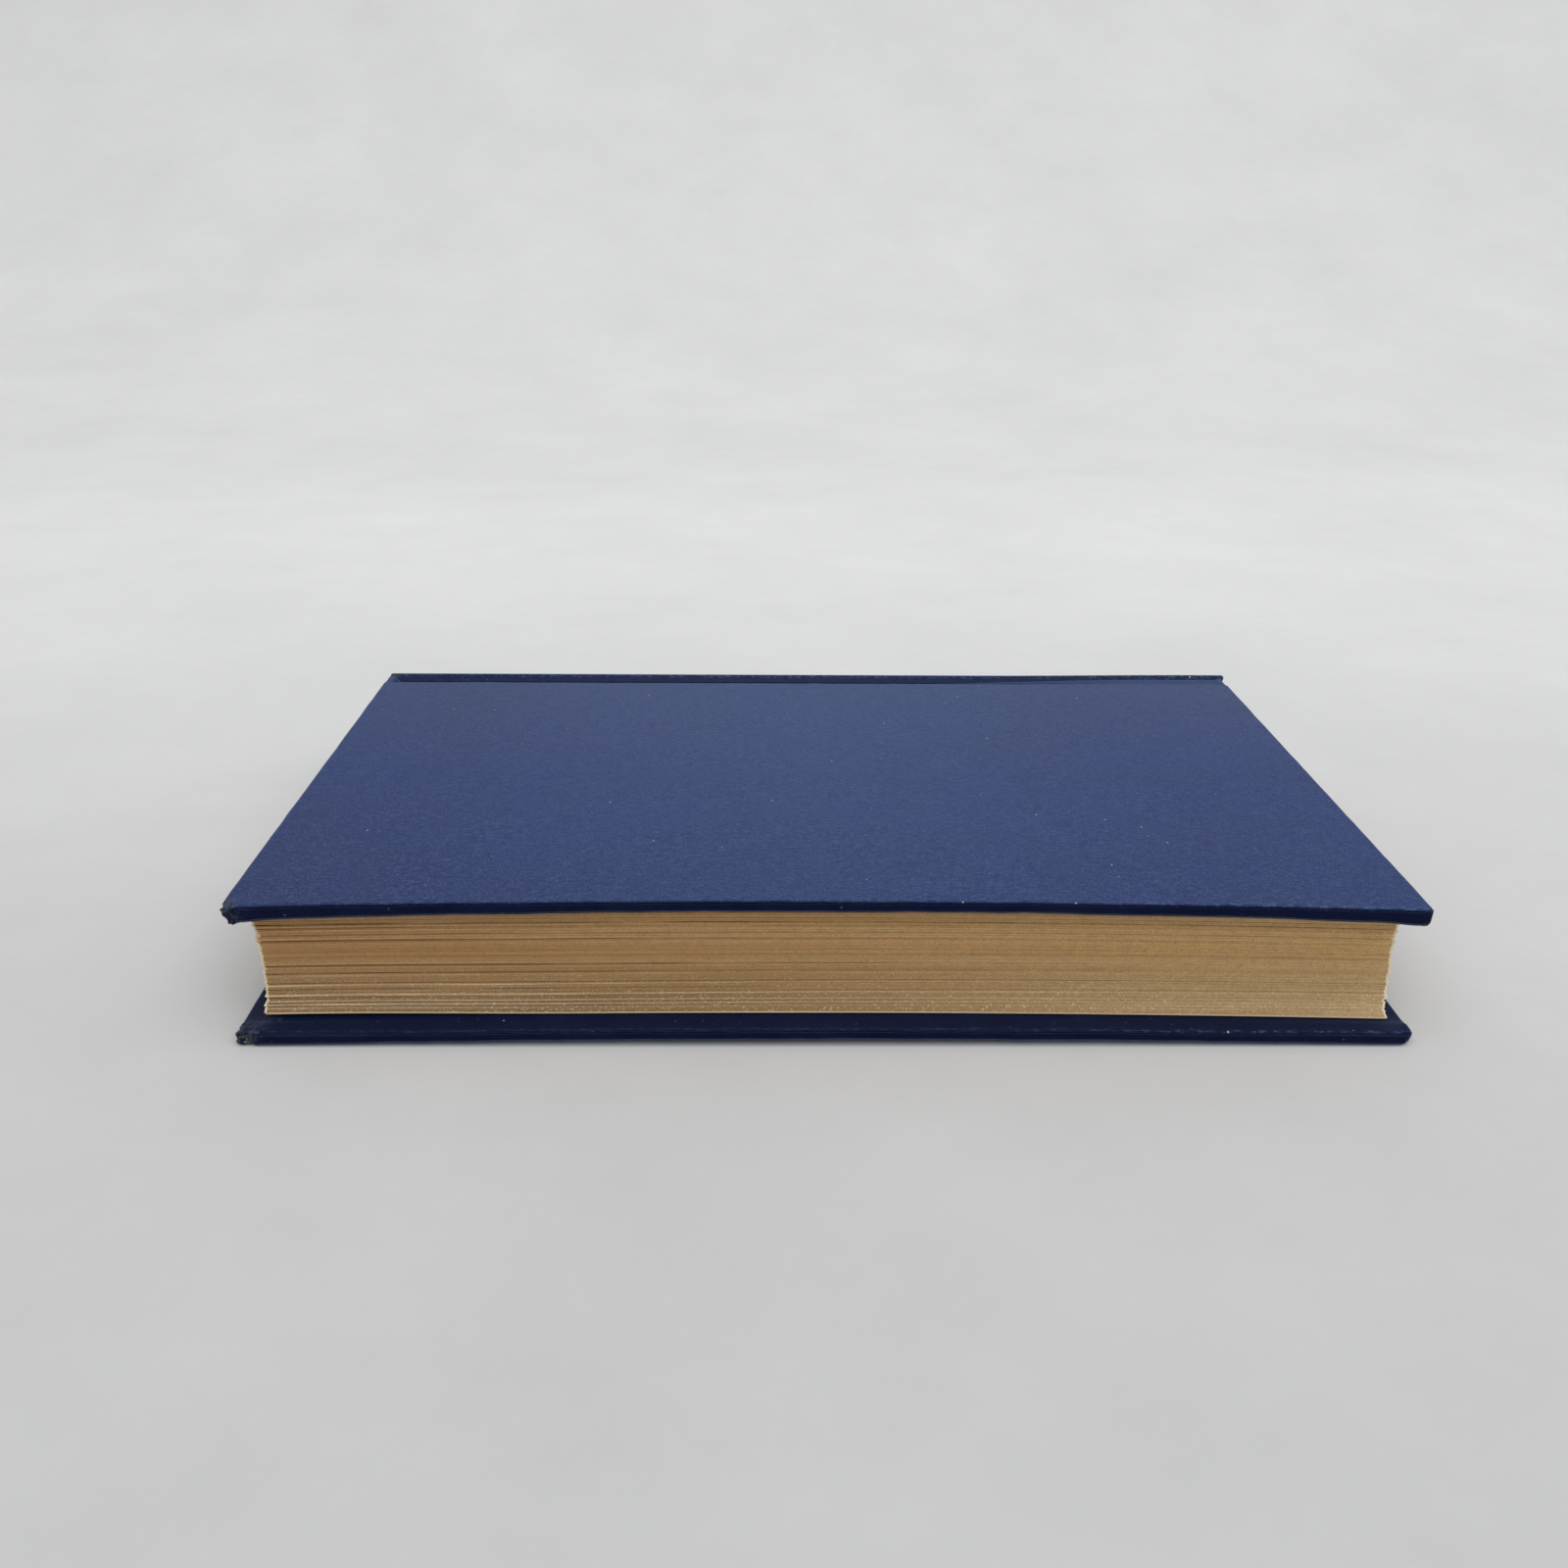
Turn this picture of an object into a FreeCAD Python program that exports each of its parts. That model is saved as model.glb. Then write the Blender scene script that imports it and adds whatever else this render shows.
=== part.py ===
import FreeCAD, Part
import math
import os
import Sketcher

# A hardback book lying on its back cover. X runs along the spine from tail to head, the fore edge
# faces -Y, the spine faces +Y, and Z is up. The origin is under the middle of the closed book.
# Every piece is drawn about the book's own middle plane: there y is 0 at the fore edge of the covers,
# z is 0 halfway through the thickness, and a piece of the back half is the front one turned over.

Vector = FreeCAD.Vector

SIZES = [
    ("board_tall", 215.4, "height of each board along the spine"),
    ("board_wide", 134.8, "width of each board from fore edge to joint"),
    ("board_thick", 2.2, "thickness of each board"),
    ("board_round", 1.7, "radius of a rubbed board corner"),
    ("worn_round", 3.4, "radius of the corner that is worn through"),
    ("cloth_thick", 0.3, "thickness of the covering cloth"),
    ("paper_thick", 0.2, "thickness of an endpaper leaf"),
    ("pages_thick", 22.2, "thickness of all the pages together"),
    ("head_square", 3.3, "how far a board passes the pages at head and tail"),
    ("fore_square", 5.6, "how far a board passes the pages at the fore edge"),
    ("fore_hollow", 2.8, "depth of the hollow in the fore edge"),
    ("leaf_proud", 0.4, "how far a flyleaf passes the pages at the fore edge"),
    ("turn_in", 15.0, "width of cloth turned in round a board or the spine strip"),
    ("joint_gap", 6.7, "from the cover's spine side to the crease at the shoulder"),
    ("hinge_inset", 0.75, "from the crease back to the line that the cover turns on"),
    ("shoulder_drop", 0.8, "how far the shoulder stays under the outside of the cover"),
    ("spine_round", 6.0, "how far the spine bulges past its shoulders"),
    ("inlay_thick", 0.7, "thickness of the card strip in the spine"),
    ("lining_thick", 0.3, "thickness of the paper lining on the spine"),
    ("mull_thick", 0.25, "thickness of the gauze on the spine"),
    ("band_tape", 6.0, "width of a headband's tape glued on the spine"),
    ("band_bead", 1.6, "thickness of a headband's bead"),
    ("band_reach", 0.9, "flat part of a headband's bead over the page ends"),
    ("band_round", 0.5, "how far the end of a headband's bead bulges"),
]


def bulge_radius(half_width, bulge):
    """Return the formula for the radius of an arc of this half width that bulges this far."""
    return f"((({half_width})^2 + {bulge}^2) / (2 * {bulge}))"


# Levels above the middle plane, from the pages outwards.
page_level = "(Sizes.pages_thick / 2)"
leaf_level = f"({page_level} + Sizes.paper_thick)"
paste_level = f"({leaf_level} + Sizes.paper_thick)"
inner_cloth_level = f"({paste_level} + Sizes.cloth_thick)"
board_level = f"({paste_level} + Sizes.board_thick)"
cover_level = f"({board_level} + Sizes.cloth_thick)"

# Places from the fore edge of the covers towards the spine.
page_fore = "(Sizes.cloth_thick + Sizes.fore_square)"
leaf_fore = f"({page_fore} - Sizes.leaf_proud)"
board_end = "(Sizes.cloth_thick + Sizes.board_wide)"
cover_end = f"({board_end} + Sizes.cloth_thick)"
crease = f"({cover_end} + Sizes.joint_gap)"
hinge_line = f"({crease} - Sizes.hinge_inset)"

# Half lengths along the spine.
board_half = "(Sizes.board_tall / 2)"
cover_half = f"({board_half} + Sizes.cloth_thick)"
page_half = f"({board_half} - Sizes.head_square)"
lining_half = f"({page_half} - Sizes.band_tape)"
turn_in_half = f"({cover_half} - Sizes.turn_in)"

# The spine's arcs share one axis. All its layers end on the same slanting line through that axis,
# which is the face of the shoulder and meets the flyleaf at the crease.
crest_level = f"({cover_level} - Sizes.shoulder_drop)"
spine_radius = bulge_radius(crest_level, "Sizes.spine_round")
shoulder_sin = f"({crest_level} / {spine_radius})"
shoulder_cos = f"(({spine_radius} - Sizes.spine_round) / {spine_radius})"
spine_axis = f"({crease} - {leaf_level} * {shoulder_cos} / {shoulder_sin})"
inlay_radius = f"({spine_radius} - Sizes.cloth_thick)"
inlay_inside = f"({inlay_radius} - Sizes.inlay_thick)"
lining_radius = f"({inlay_inside} - Sizes.cloth_thick)"
mull_radius = f"({lining_radius} - Sizes.lining_thick)"
page_radius = f"({mull_radius} - Sizes.mull_thick)"
book_deep = f"({spine_axis} + {spine_radius})"


def make_sheet(doc):
    """Put every driving size in the sheet under its own name."""
    sheet = doc.addObject("Spreadsheet::Sheet", "Sizes")
    for row, (alias, value, note) in enumerate(SIZES, start=1):
        sheet.set(f"A{row}", note)
        sheet.set(f"B{row}", str(value))
        sheet.setAlias(f"B{row}", alias)
    doc.recompute()
    return sheet


def number(item, formula):
    """Return what a formula of sizes comes to now in the item's document."""
    return float(item.Document.Sizes.evalExpression(formula))


def new_body(doc, label, turned_over=False):
    """Start a sub-part. A turned-over one is the back half's copy of a piece drawn for the front."""
    body = doc.addObject("PartDesign::Body", label)
    body.Label = label
    half_turn = FreeCAD.Rotation(Vector(0, 1, 0), 180 if turned_over else 0)
    body.Placement = FreeCAD.Placement(Vector(0, 0, 0), half_turn)
    body.setExpression("Placement.Base.y", f"-{book_deep} / 2")
    body.setExpression("Placement.Base.z", cover_level)
    return body


def new_sketch(body, name, role, shift="0", raised="0"):
    """Add a sketch on one of the body's own planes, shifted along its second axis and raised."""
    sketch = body.newObject("Sketcher::SketchObject", name)
    plane = [item for item in body.Origin.OriginFeatures if item.Role == role][0]
    sketch.AttachmentSupport = [(plane, "")]
    sketch.MapMode = "FlatFace"
    sketch.setExpression("AttachmentOffset.Base.y", shift)
    sketch.setExpression("AttachmentOffset.Base.z", raised)
    return sketch


def arc_between(start, end, radius, side):
    """Return the arc from start to end. Side is 1 for a centre left of the way there, -1 for right."""
    chord = end - start
    middle = (start + end) / 2
    left = Vector(-chord.y, chord.x, 0) / chord.Length
    reach = math.sqrt(max(radius ** 2 - (chord.Length / 2) ** 2, 0))
    centre = middle + left * reach * side
    first, last = (start, end) if side > 0 else (end, start)
    first_angle = math.atan2(first.y - centre.y, first.x - centre.x)
    last_angle = math.atan2(last.y - centre.y, last.x - centre.x)
    return Part.ArcOfCircle(Part.Circle(centre, Vector(0, 0, 1), radius), first_angle, last_angle)


def draw(sketch, corners, arcs=None):
    """Draw a closed outline through corners given as pairs of formulas.

    Arcs tells which stretches are round: the number of the corner it starts from, with a formula for
    its radius and the side that its centre lies on.
    """
    arcs = arcs or {}
    places = [Vector(number(sketch, u), number(sketch, v), 0) for u, v in corners]
    ends = []
    for index, start in enumerate(places):
        end = places[(index + 1) % len(places)]
        if index in arcs:
            radius, side = arcs[index]
            curve = arc_between(start, end, number(sketch, radius), side)
            ends.append((1, 2) if side > 0 else (2, 1))
        else:
            curve = Part.LineSegment(start, end)
            ends.append((1, 2))
        sketch.addGeometry(curve, False)
    for index in range(len(places)):
        after = (index + 1) % len(places)
        joined = Sketcher.Constraint("Coincident", index, ends[index][1], after, ends[after][0])
        sketch.addConstraint(joined)
    for index, (u, v) in enumerate(corners):
        for kind, formula, value in (("DistanceX", u, places[index].x), ("DistanceY", v, places[index].y)):
            held = Sketcher.Constraint(kind, -1, 1, index, ends[index][0], value)
            name = f"{kind}_{index}"
            sketch.renameConstraint(sketch.addConstraint(held), name)
            sketch.setExpression(f"Constraints.{name}", formula)
    for index, (radius, _side) in arcs.items():
        held = Sketcher.Constraint("Radius", index, number(sketch, radius))
        name = f"Radius_{index}"
        sketch.renameConstraint(sketch.addConstraint(held), name)
        sketch.setExpression(f"Constraints.{name}", radius)


def pad(body, sketch, length, both_ways=False):
    """Add material along the sketch's normal, or half the length each way."""
    feature = body.newObject("PartDesign::Pad", f"{sketch.Name}_pad")
    feature.Profile = sketch
    feature.SideType = "Symmetric" if both_ways else "One side"
    feature.setExpression("Length", length)


def pocket(body, sketch, length, both_ways=False):
    """Take material away along the sketch's normal, or half the length each way."""
    feature = body.newObject("PartDesign::Pocket", f"{sketch.Name}_pocket")
    feature.Profile = sketch
    feature.SideType = "Symmetric" if both_ways else "One side"
    feature.Reversed = not both_ways
    feature.setExpression("Length", length)


def rectangle(left, right, near, far):
    """Return the corners of a rectangle from formulas for its four sides."""
    return [(left, near), (right, near), (right, far), (left, far)]


def draw_cover_outline(sketch, half, near, far, tail_round, head_round):
    """Draw a cover's plan: square at the spine side, rounded at its two fore corners."""
    corners = [
        (f"-{half} + {tail_round}", near),
        (f"{half} - {head_round}", near),
        (half, f"{near} + {head_round}"),
        (half, far),
        (f"-{half}", far),
        (f"-{half}", f"{near} + {tail_round}"),
    ]
    draw(sketch, corners, {1: (head_round, 1), 5: (tail_round, 1)})


def make_board(doc, label, turned_over, tail_round, head_round):
    """A grey board. The turned-in cloth is pressed into its inside along three edges."""
    body = new_body(doc, label, turned_over)
    plan = new_sketch(body, f"{label}_plan", "XY_Plane", raised=inner_cloth_level)
    draw_cover_outline(plan, board_half, "Sizes.cloth_thick", board_end, tail_round, head_round)
    pad(body, plan, f"{board_level} - {inner_cloth_level}")
    middle = new_sketch(body, f"{label}_middle", "XY_Plane", raised=paste_level)
    draw(middle, rectangle(f"-{turn_in_half}", turn_in_half, "Sizes.turn_in", board_end))
    pad(body, middle, "Sizes.cloth_thick")


def make_cover_cloth(doc, label, turned_over, tail_round, head_round):
    """The cloth round a board, turned in on three sides, with the strip that crosses the joint."""
    body = new_body(doc, label, turned_over)
    outside = new_sketch(body, f"{label}_outside", "XY_Plane", raised=paste_level)
    tail_outer = f"({tail_round} + Sizes.cloth_thick)"
    head_outer = f"({head_round} + Sizes.cloth_thick)"
    draw_cover_outline(outside, cover_half, "0", cover_end, tail_outer, head_outer)
    pad(body, outside, f"{cover_level} - {paste_level}")
    joint = new_sketch(body, f"{label}_joint", "XY_Plane", raised=paste_level)
    draw(joint, rectangle(f"-{cover_half}", cover_half, cover_end, hinge_line))
    pad(body, joint, "Sizes.cloth_thick")
    space = new_sketch(body, f"{label}_space", "XY_Plane", raised=inner_cloth_level)
    draw_cover_outline(space, board_half, "Sizes.cloth_thick", board_end, tail_round, head_round)
    pocket(body, space, f"{board_level} - {inner_cloth_level}")
    window = new_sketch(body, f"{label}_window", "XY_Plane", raised=paste_level)
    draw(window, rectangle(f"-{turn_in_half}", turn_in_half, "Sizes.turn_in", board_end))
    pocket(body, window, "Sizes.cloth_thick")


def make_pastedown(doc, label, turned_over):
    """The endpaper leaf glued inside a cover, as large as the pages, up to the hinge line."""
    body = new_body(doc, label, turned_over)
    plan = new_sketch(body, f"{label}_plan", "XY_Plane", raised=leaf_level)
    draw(plan, rectangle(f"-{page_half}", page_half, leaf_fore, hinge_line))
    pad(body, plan, "Sizes.paper_thick")


def on_shoulder(level):
    """Return the place on the shoulder's face at a level."""
    return (f"{spine_axis} + {level} * {shoulder_cos} / {shoulder_sin}", level)


def at_radius(radius, sign):
    """Return the place where a spine arc ends on the front (1) or back (-1) shoulder's face."""
    return (f"{spine_axis} + {radius} * {shoulder_cos}", f"{sign} * {radius} * {shoulder_sin}")


def mirrored(place):
    """Return the same place on the other side of the middle plane."""
    return (place[0], f"-({place[1]})")


def make_flyleaf(doc, label, turned_over):
    """The free endpaper leaf on the pages, folded up where it meets the shoulder."""
    body = new_body(doc, label, turned_over)
    section = new_sketch(body, f"{label}_section", "YZ_Plane")
    corners = [
        (leaf_fore, page_level),
        on_shoulder(page_level),
        on_shoulder(paste_level),
        (hinge_line, paste_level),
        (hinge_line, leaf_level),
        (leaf_fore, leaf_level),
    ]
    draw(section, corners)
    pad(body, section, f"2 * {page_half}", both_ways=True)


def make_page_block(doc):
    """All the pages: hollow fore edge, round spine, and a shoulder each side of it."""
    body = new_body(doc, "page_block")
    section = new_sketch(body, "page_section", "YZ_Plane")
    hollow_radius = bulge_radius(page_level, "Sizes.fore_hollow")
    corners = [
        (page_fore, f"-{page_level}"),
        mirrored(on_shoulder(page_level)),
        at_radius(page_radius, -1),
        at_radius(page_radius, 1),
        on_shoulder(page_level),
        (page_fore, page_level),
    ]
    draw(section, corners, {2: (page_radius, 1), 5: (hollow_radius, -1)})
    pad(body, section, f"2 * {page_half}", both_ways=True)


def draw_spine_layer(body, name, inside, outside):
    """Draw the section of a layer that follows the spine from shoulder to shoulder."""
    sketch = new_sketch(body, name, "YZ_Plane")
    corners = [at_radius(inside, -1), at_radius(outside, -1), at_radius(outside, 1), at_radius(inside, 1)]
    draw(sketch, corners, {1: (outside, 1), 3: (inside, -1)})
    return sketch


def make_spine_layer(doc, label, inside, outside, half):
    """A sheet bent over the spine: the gauze, the lining or the card strip."""
    body = new_body(doc, label)
    section = draw_spine_layer(body, f"{label}_section", inside, outside)
    pad(body, section, f"2 * {half}", both_ways=True)


def make_spine_cloth(doc):
    """The cloth of the spine: down both shoulders to the hinge lines, turned in at head and tail."""
    body = new_body(doc, "spine_cloth")
    section = new_sketch(body, "spine_cloth_section", "YZ_Plane")
    along = f"(({inner_cloth_level} - Sizes.cloth_thick * {shoulder_cos}) / {shoulder_sin})"
    foot = (
        f"{spine_axis} + {along} * {shoulder_cos} - Sizes.cloth_thick * {shoulder_sin}",
        inner_cloth_level,
    )
    reach = f"sqrt({spine_radius}^2 - Sizes.cloth_thick^2)"
    crest = (
        f"{spine_axis} + {reach} * {shoulder_cos} - Sizes.cloth_thick * {shoulder_sin}",
        f"{reach} * {shoulder_sin} + Sizes.cloth_thick * {shoulder_cos}",
    )
    hinge_outer = (hinge_line, inner_cloth_level)
    hinge_inner = (hinge_line, paste_level)
    corners = [
        mirrored(hinge_inner),
        mirrored(hinge_outer),
        mirrored(foot),
        mirrored(crest),
        crest,
        foot,
        hinge_outer,
        hinge_inner,
        on_shoulder(paste_level),
        at_radius(lining_radius, 1),
        at_radius(lining_radius, -1),
        mirrored(on_shoulder(paste_level)),
    ]
    draw(section, corners, {3: (spine_radius, 1), 9: (lining_radius, -1)})
    pad(body, section, f"2 * {cover_half}", both_ways=True)
    strip = draw_spine_layer(body, "spine_cloth_strip", inlay_inside, inlay_radius)
    pocket(body, strip, f"2 * {board_half}", both_ways=True)
    hollow = draw_spine_layer(body, "spine_cloth_hollow", lining_radius, inlay_inside)
    pocket(body, hollow, f"2 * {turn_in_half}", both_ways=True)


def make_band(doc, label, turned_over):
    """A headband: a tape glued on the end of the spine and a bead over the page ends."""
    body = new_body(doc, label, turned_over)
    section = new_sketch(body, f"{label}_section", "XY_Plane", shift=spine_axis)
    bead_low = f"({lining_radius} - Sizes.band_bead)"
    bead_end = f"({page_half} + Sizes.band_reach)"
    corners = [
        (page_half, bead_low),
        (bead_end, bead_low),
        (bead_end, lining_radius),
        (lining_half, lining_radius),
        (lining_half, page_radius),
        (page_half, page_radius),
    ]
    draw(section, corners, {1: (bulge_radius("Sizes.band_bead / 2", "Sizes.band_round"), 1)})
    bend = body.newObject("PartDesign::Revolution", f"{label}_bend")
    bend.Profile = section
    bend.ReferenceAxis = (section, ["H_Axis"])
    bend.Midplane = True
    bend.setExpression("Angle", f"2 * asin({shoulder_sin})")


def check(doc):
    """Stop if any object failed or any sub-part is not one valid solid."""
    for item in doc.Objects:
        if "Invalid" in item.State or "Error" in item.State:
            raise RuntimeError(f"{item.Name} did not build: {item.State}")
    for body in sub_parts(doc):
        if body.Shape.isNull() or not body.Shape.isValid() or len(body.Shape.Solids) != 1:
            raise RuntimeError(f"{body.Label} is not one valid solid")


def sub_parts(doc):
    """Return every sub-part of the book."""
    return [item for item in doc.Objects if item.TypeId == "PartDesign::Body"]


def write(doc):
    """Write each sub-part to its own file."""
    os.makedirs("parts", exist_ok=True)
    for body in sub_parts(doc):
        body.Shape.exportStep(f"parts/{body.Label}.step")


# The pieces. The front cover's tail corner at the fore edge is the one that is worn through.
doc = FreeCAD.newDocument("Book")
make_sheet(doc)
make_page_block(doc)
make_flyleaf(doc, "front_flyleaf", False)
make_flyleaf(doc, "back_flyleaf", True)
make_spine_layer(doc, "mull", page_radius, mull_radius, lining_half)
make_spine_layer(doc, "spine_lining", mull_radius, lining_radius, lining_half)
make_spine_layer(doc, "spine_inlay", inlay_inside, inlay_radius, board_half)
make_spine_cloth(doc)
make_band(doc, "head_band", False)
make_band(doc, "tail_band", True)
make_board(doc, "front_board", False, "Sizes.worn_round", "Sizes.board_round")
make_board(doc, "back_board", True, "Sizes.board_round", "Sizes.board_round")
make_cover_cloth(doc, "front_cover_cloth", False, "Sizes.worn_round", "Sizes.board_round")
make_cover_cloth(doc, "back_cover_cloth", True, "Sizes.board_round", "Sizes.board_round")
make_pastedown(doc, "front_pastedown", False)
make_pastedown(doc, "back_pastedown", True)
doc.recompute()
check(doc)
write(doc)
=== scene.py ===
import bmesh
import bpy
import math
import numpy as np
from mathutils import Matrix, Vector


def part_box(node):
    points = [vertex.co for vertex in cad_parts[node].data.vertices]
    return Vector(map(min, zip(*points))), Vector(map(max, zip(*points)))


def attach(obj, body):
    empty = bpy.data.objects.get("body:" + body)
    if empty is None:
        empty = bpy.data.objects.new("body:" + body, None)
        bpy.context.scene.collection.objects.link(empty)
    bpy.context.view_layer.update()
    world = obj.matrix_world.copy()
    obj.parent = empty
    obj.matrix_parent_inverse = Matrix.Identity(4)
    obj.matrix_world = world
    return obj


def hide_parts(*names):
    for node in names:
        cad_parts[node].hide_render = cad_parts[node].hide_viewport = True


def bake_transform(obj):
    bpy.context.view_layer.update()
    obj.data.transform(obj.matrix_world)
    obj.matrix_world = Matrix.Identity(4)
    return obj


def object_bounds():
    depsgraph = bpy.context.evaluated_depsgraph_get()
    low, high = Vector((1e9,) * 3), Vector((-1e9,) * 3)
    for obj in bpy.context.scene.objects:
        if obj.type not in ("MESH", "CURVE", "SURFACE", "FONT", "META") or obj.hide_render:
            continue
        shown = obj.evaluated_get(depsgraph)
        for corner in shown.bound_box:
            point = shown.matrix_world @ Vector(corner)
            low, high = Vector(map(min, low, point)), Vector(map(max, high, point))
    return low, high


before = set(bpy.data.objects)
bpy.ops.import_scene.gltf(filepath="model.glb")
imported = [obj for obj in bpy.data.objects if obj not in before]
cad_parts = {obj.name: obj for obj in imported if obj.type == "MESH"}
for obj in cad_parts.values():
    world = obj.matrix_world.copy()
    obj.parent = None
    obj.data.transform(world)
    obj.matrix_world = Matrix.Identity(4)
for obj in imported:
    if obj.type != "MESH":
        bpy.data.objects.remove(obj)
cad_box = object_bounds()


# The viewpoint: a phone camera held low in front of the fore edge, a little left of the middle, looking
# down on the cover. The room is a plain pale sweep under one large soft lamp and an even pale sky.
mm = 0.001
cover_low, cover_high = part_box("front_cover_cloth")
fore_y = cover_low.y
half_tall = cover_high.x
book_thick = cover_high.z

camera_place = Vector((-13.9 * mm, fore_y - 260.8 * mm, 150.1 * mm))
camera_down = math.radians(20.695)
camera_turn = math.radians(1.154)
camera_roll = math.radians(0.563)
camera_data = bpy.data.cameras.new("viewpoint")
camera_data.sensor_width = 36.0
camera_data.lens = 36.0 * 1650 / 1600
camera_data.clip_start = 0.01
camera = bpy.data.objects.new("viewpoint", camera_data)
bpy.context.scene.collection.objects.link(camera)
level = Vector((math.cos(camera_turn), -math.sin(camera_turn), 0))
ahead = Vector((math.sin(camera_turn), math.cos(camera_turn), 0))
forward = ahead * math.cos(camera_down) - Vector((0, 0, math.sin(camera_down)))
upright = ahead * math.sin(camera_down) + Vector((0, 0, math.cos(camera_down)))
right = level * math.cos(camera_roll) + upright * math.sin(camera_roll)
up = upright * math.cos(camera_roll) - level * math.sin(camera_roll)
camera.matrix_world = Matrix.Translation(camera_place) @ Matrix((right, up, -forward)).transposed().to_4x4()
bpy.context.scene.camera = camera
bpy.context.scene.view_settings.view_transform = "Standard"


def add_node(tree, kind, values=None, **settings):
    """Add a node, set its properties, and give each named input its number, colour or link."""
    node = tree.nodes.new(kind)
    for name, value in settings.items():
        setattr(node, name, value)
    for name, value in (values or {}).items():
        if isinstance(value, bpy.types.NodeSocket):
            tree.links.new(value, node.inputs[name])
        else:
            node.inputs[name].default_value = value
    return node


def surface_material(name):
    """Return a new material's node tree and its Principled shader, ready for its inputs."""
    material = bpy.data.materials.new(name)
    material.use_nodes = True
    tree = material.node_tree
    return material, tree, tree.nodes["Principled BSDF"]


def grid_faces(rows, columns, first=0, closed=False):
    """Quads of a grid of points: each joins a point to the next in its row and to the row after."""
    index = first + np.arange(rows * columns).reshape(rows, columns)
    if closed:
        index = np.concatenate([index, index[:, :1]], axis=1)
    corners = [index[:-1, :-1], index[:-1, 1:], index[1:, 1:], index[1:, :-1]]
    return np.stack(corners, axis=-1).reshape(-1, 4)


def new_piece(name, points, faces, material, smooth=True):
    """Make an object at the origin from points in metres and lists of point numbers."""
    mesh = bpy.data.meshes.new(name)
    mesh.from_pydata(np.asarray(points).reshape(-1, 3), [], [list(face) for face in faces])
    mesh.materials.append(material)
    mesh.polygons.foreach_set("use_smooth", np.full(len(mesh.polygons), smooth))
    mesh.update()
    piece = bpy.data.objects.new(name, mesh)
    bpy.context.scene.collection.objects.link(piece)
    return piece


sweep_material, tree, shader = surface_material("pale_sweep")
place = add_node(tree, "ShaderNodeTexCoord").outputs["Object"]
cloudy = add_node(tree, "ShaderNodeTexNoise", {"Vector": place, "Scale": 9.0, "Detail": 8.0, "Roughness": 0.7})
# Painted light: the sweep is darker near the camera, paler towards the foot of the curve and a little darker again
# higher up, standing in for how the light falls off. A soft cloudy noise varies it.
depth = add_node(tree, "ShaderNodeSeparateXYZ", {"Vector": place}).outputs["Y"]
values = {"Value": depth, "From Min": -0.25, "From Max": 0.45, "To Min": 0.522, "To Max": 0.785}
rising = add_node(tree, "ShaderNodeMapRange", values, interpolation_type="SMOOTHSTEP").outputs["Result"]
values = {"Value": depth, "From Min": 0.5, "From Max": 1.3, "To Min": 1.0, "To Max": 0.93}
falling = add_node(tree, "ShaderNodeMapRange", values).outputs["Result"]
values = {"Value": cloudy.outputs["Fac"], "From Min": 0.3, "From Max": 0.7, "To Min": 0.955, "To Max": 1.045}
cloud = add_node(tree, "ShaderNodeMapRange", values).outputs["Result"]
level = add_node(tree, "ShaderNodeMath", operation="MULTIPLY")
tree.links.new(rising, level.inputs[0])
tree.links.new(falling, level.inputs[1])
shade = add_node(tree, "ShaderNodeMath", operation="MULTIPLY")
tree.links.new(level.outputs[0], shade.inputs[0])
tree.links.new(cloud, shade.inputs[1])
tint = add_node(tree, "ShaderNodeCombineColor", {"Red": shade.outputs[0], "Green": shade.outputs[0], "Blue": shade.outputs[0]})
tree.links.new(tint.outputs["Color"], shader.inputs["Base Color"])
shader.inputs["Roughness"].default_value = 0.9
shader.inputs["Specular IOR Level"].default_value = 0.1

# The sweep's section is flat, then a quarter circle, then upright: its height follows from the arc's
# angle, which is its length along the arc divided by the radius.
sweep_radius = 0.9
sweep_start = 0.55
run = np.concatenate([np.linspace(-2.5, sweep_start, 8), sweep_start + np.linspace(0.05, 1, 24) * sweep_radius * math.pi / 2])
angle = np.clip((run - sweep_start) / sweep_radius, 0, None)
section_y = np.minimum(run, sweep_start) + sweep_radius * np.sin(angle)
section_z = sweep_radius * (1 - np.cos(angle))
section_y = np.append(section_y, section_y[-1])
section_z = np.append(section_z, 3.0)
across = np.linspace(-4, 4, 9)
sweep_points = np.stack(np.broadcast_arrays(across[None, :], section_y[:, None], section_z[:, None]), axis=-1)
sweep = new_piece("sweep", sweep_points, grid_faces(len(section_y), len(across)), sweep_material)

world = bpy.data.worlds.new("even_sky")
bpy.context.scene.world = world
world.use_nodes = True
sky = world.node_tree.nodes["Background"]
sky.inputs["Color"].default_value = (0.97, 0.985, 1.0, 1)
sky.inputs["Strength"].default_value = 0.42
lamp_data = bpy.data.lights.new("soft_lamp", "AREA")
lamp_data.shape = "RECTANGLE"
lamp_data.size = 3.0
lamp_data.size_y = 2.4
lamp_data.energy = 42
lamp = bpy.data.objects.new("soft_lamp", lamp_data)
lamp.location = (0.15, -0.95, 1.6)
lamp.rotation_euler = (Vector((0, 0, 0)) - lamp.location).to_track_quat("-Z", "Y").to_euler()
bpy.context.scene.collection.objects.link(lamp)


# The bow of the book: boards, pages and endpapers have warped together, so that the middle of the fore
# edge stands 1.2 to 1.4 mm higher than its ends, less towards the spine. The tail end lifts a little.
board_low, board_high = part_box("front_board")
cloth_thick = cover_high.z - board_high.z
board_end_y = board_high.y + cloth_thick


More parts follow.
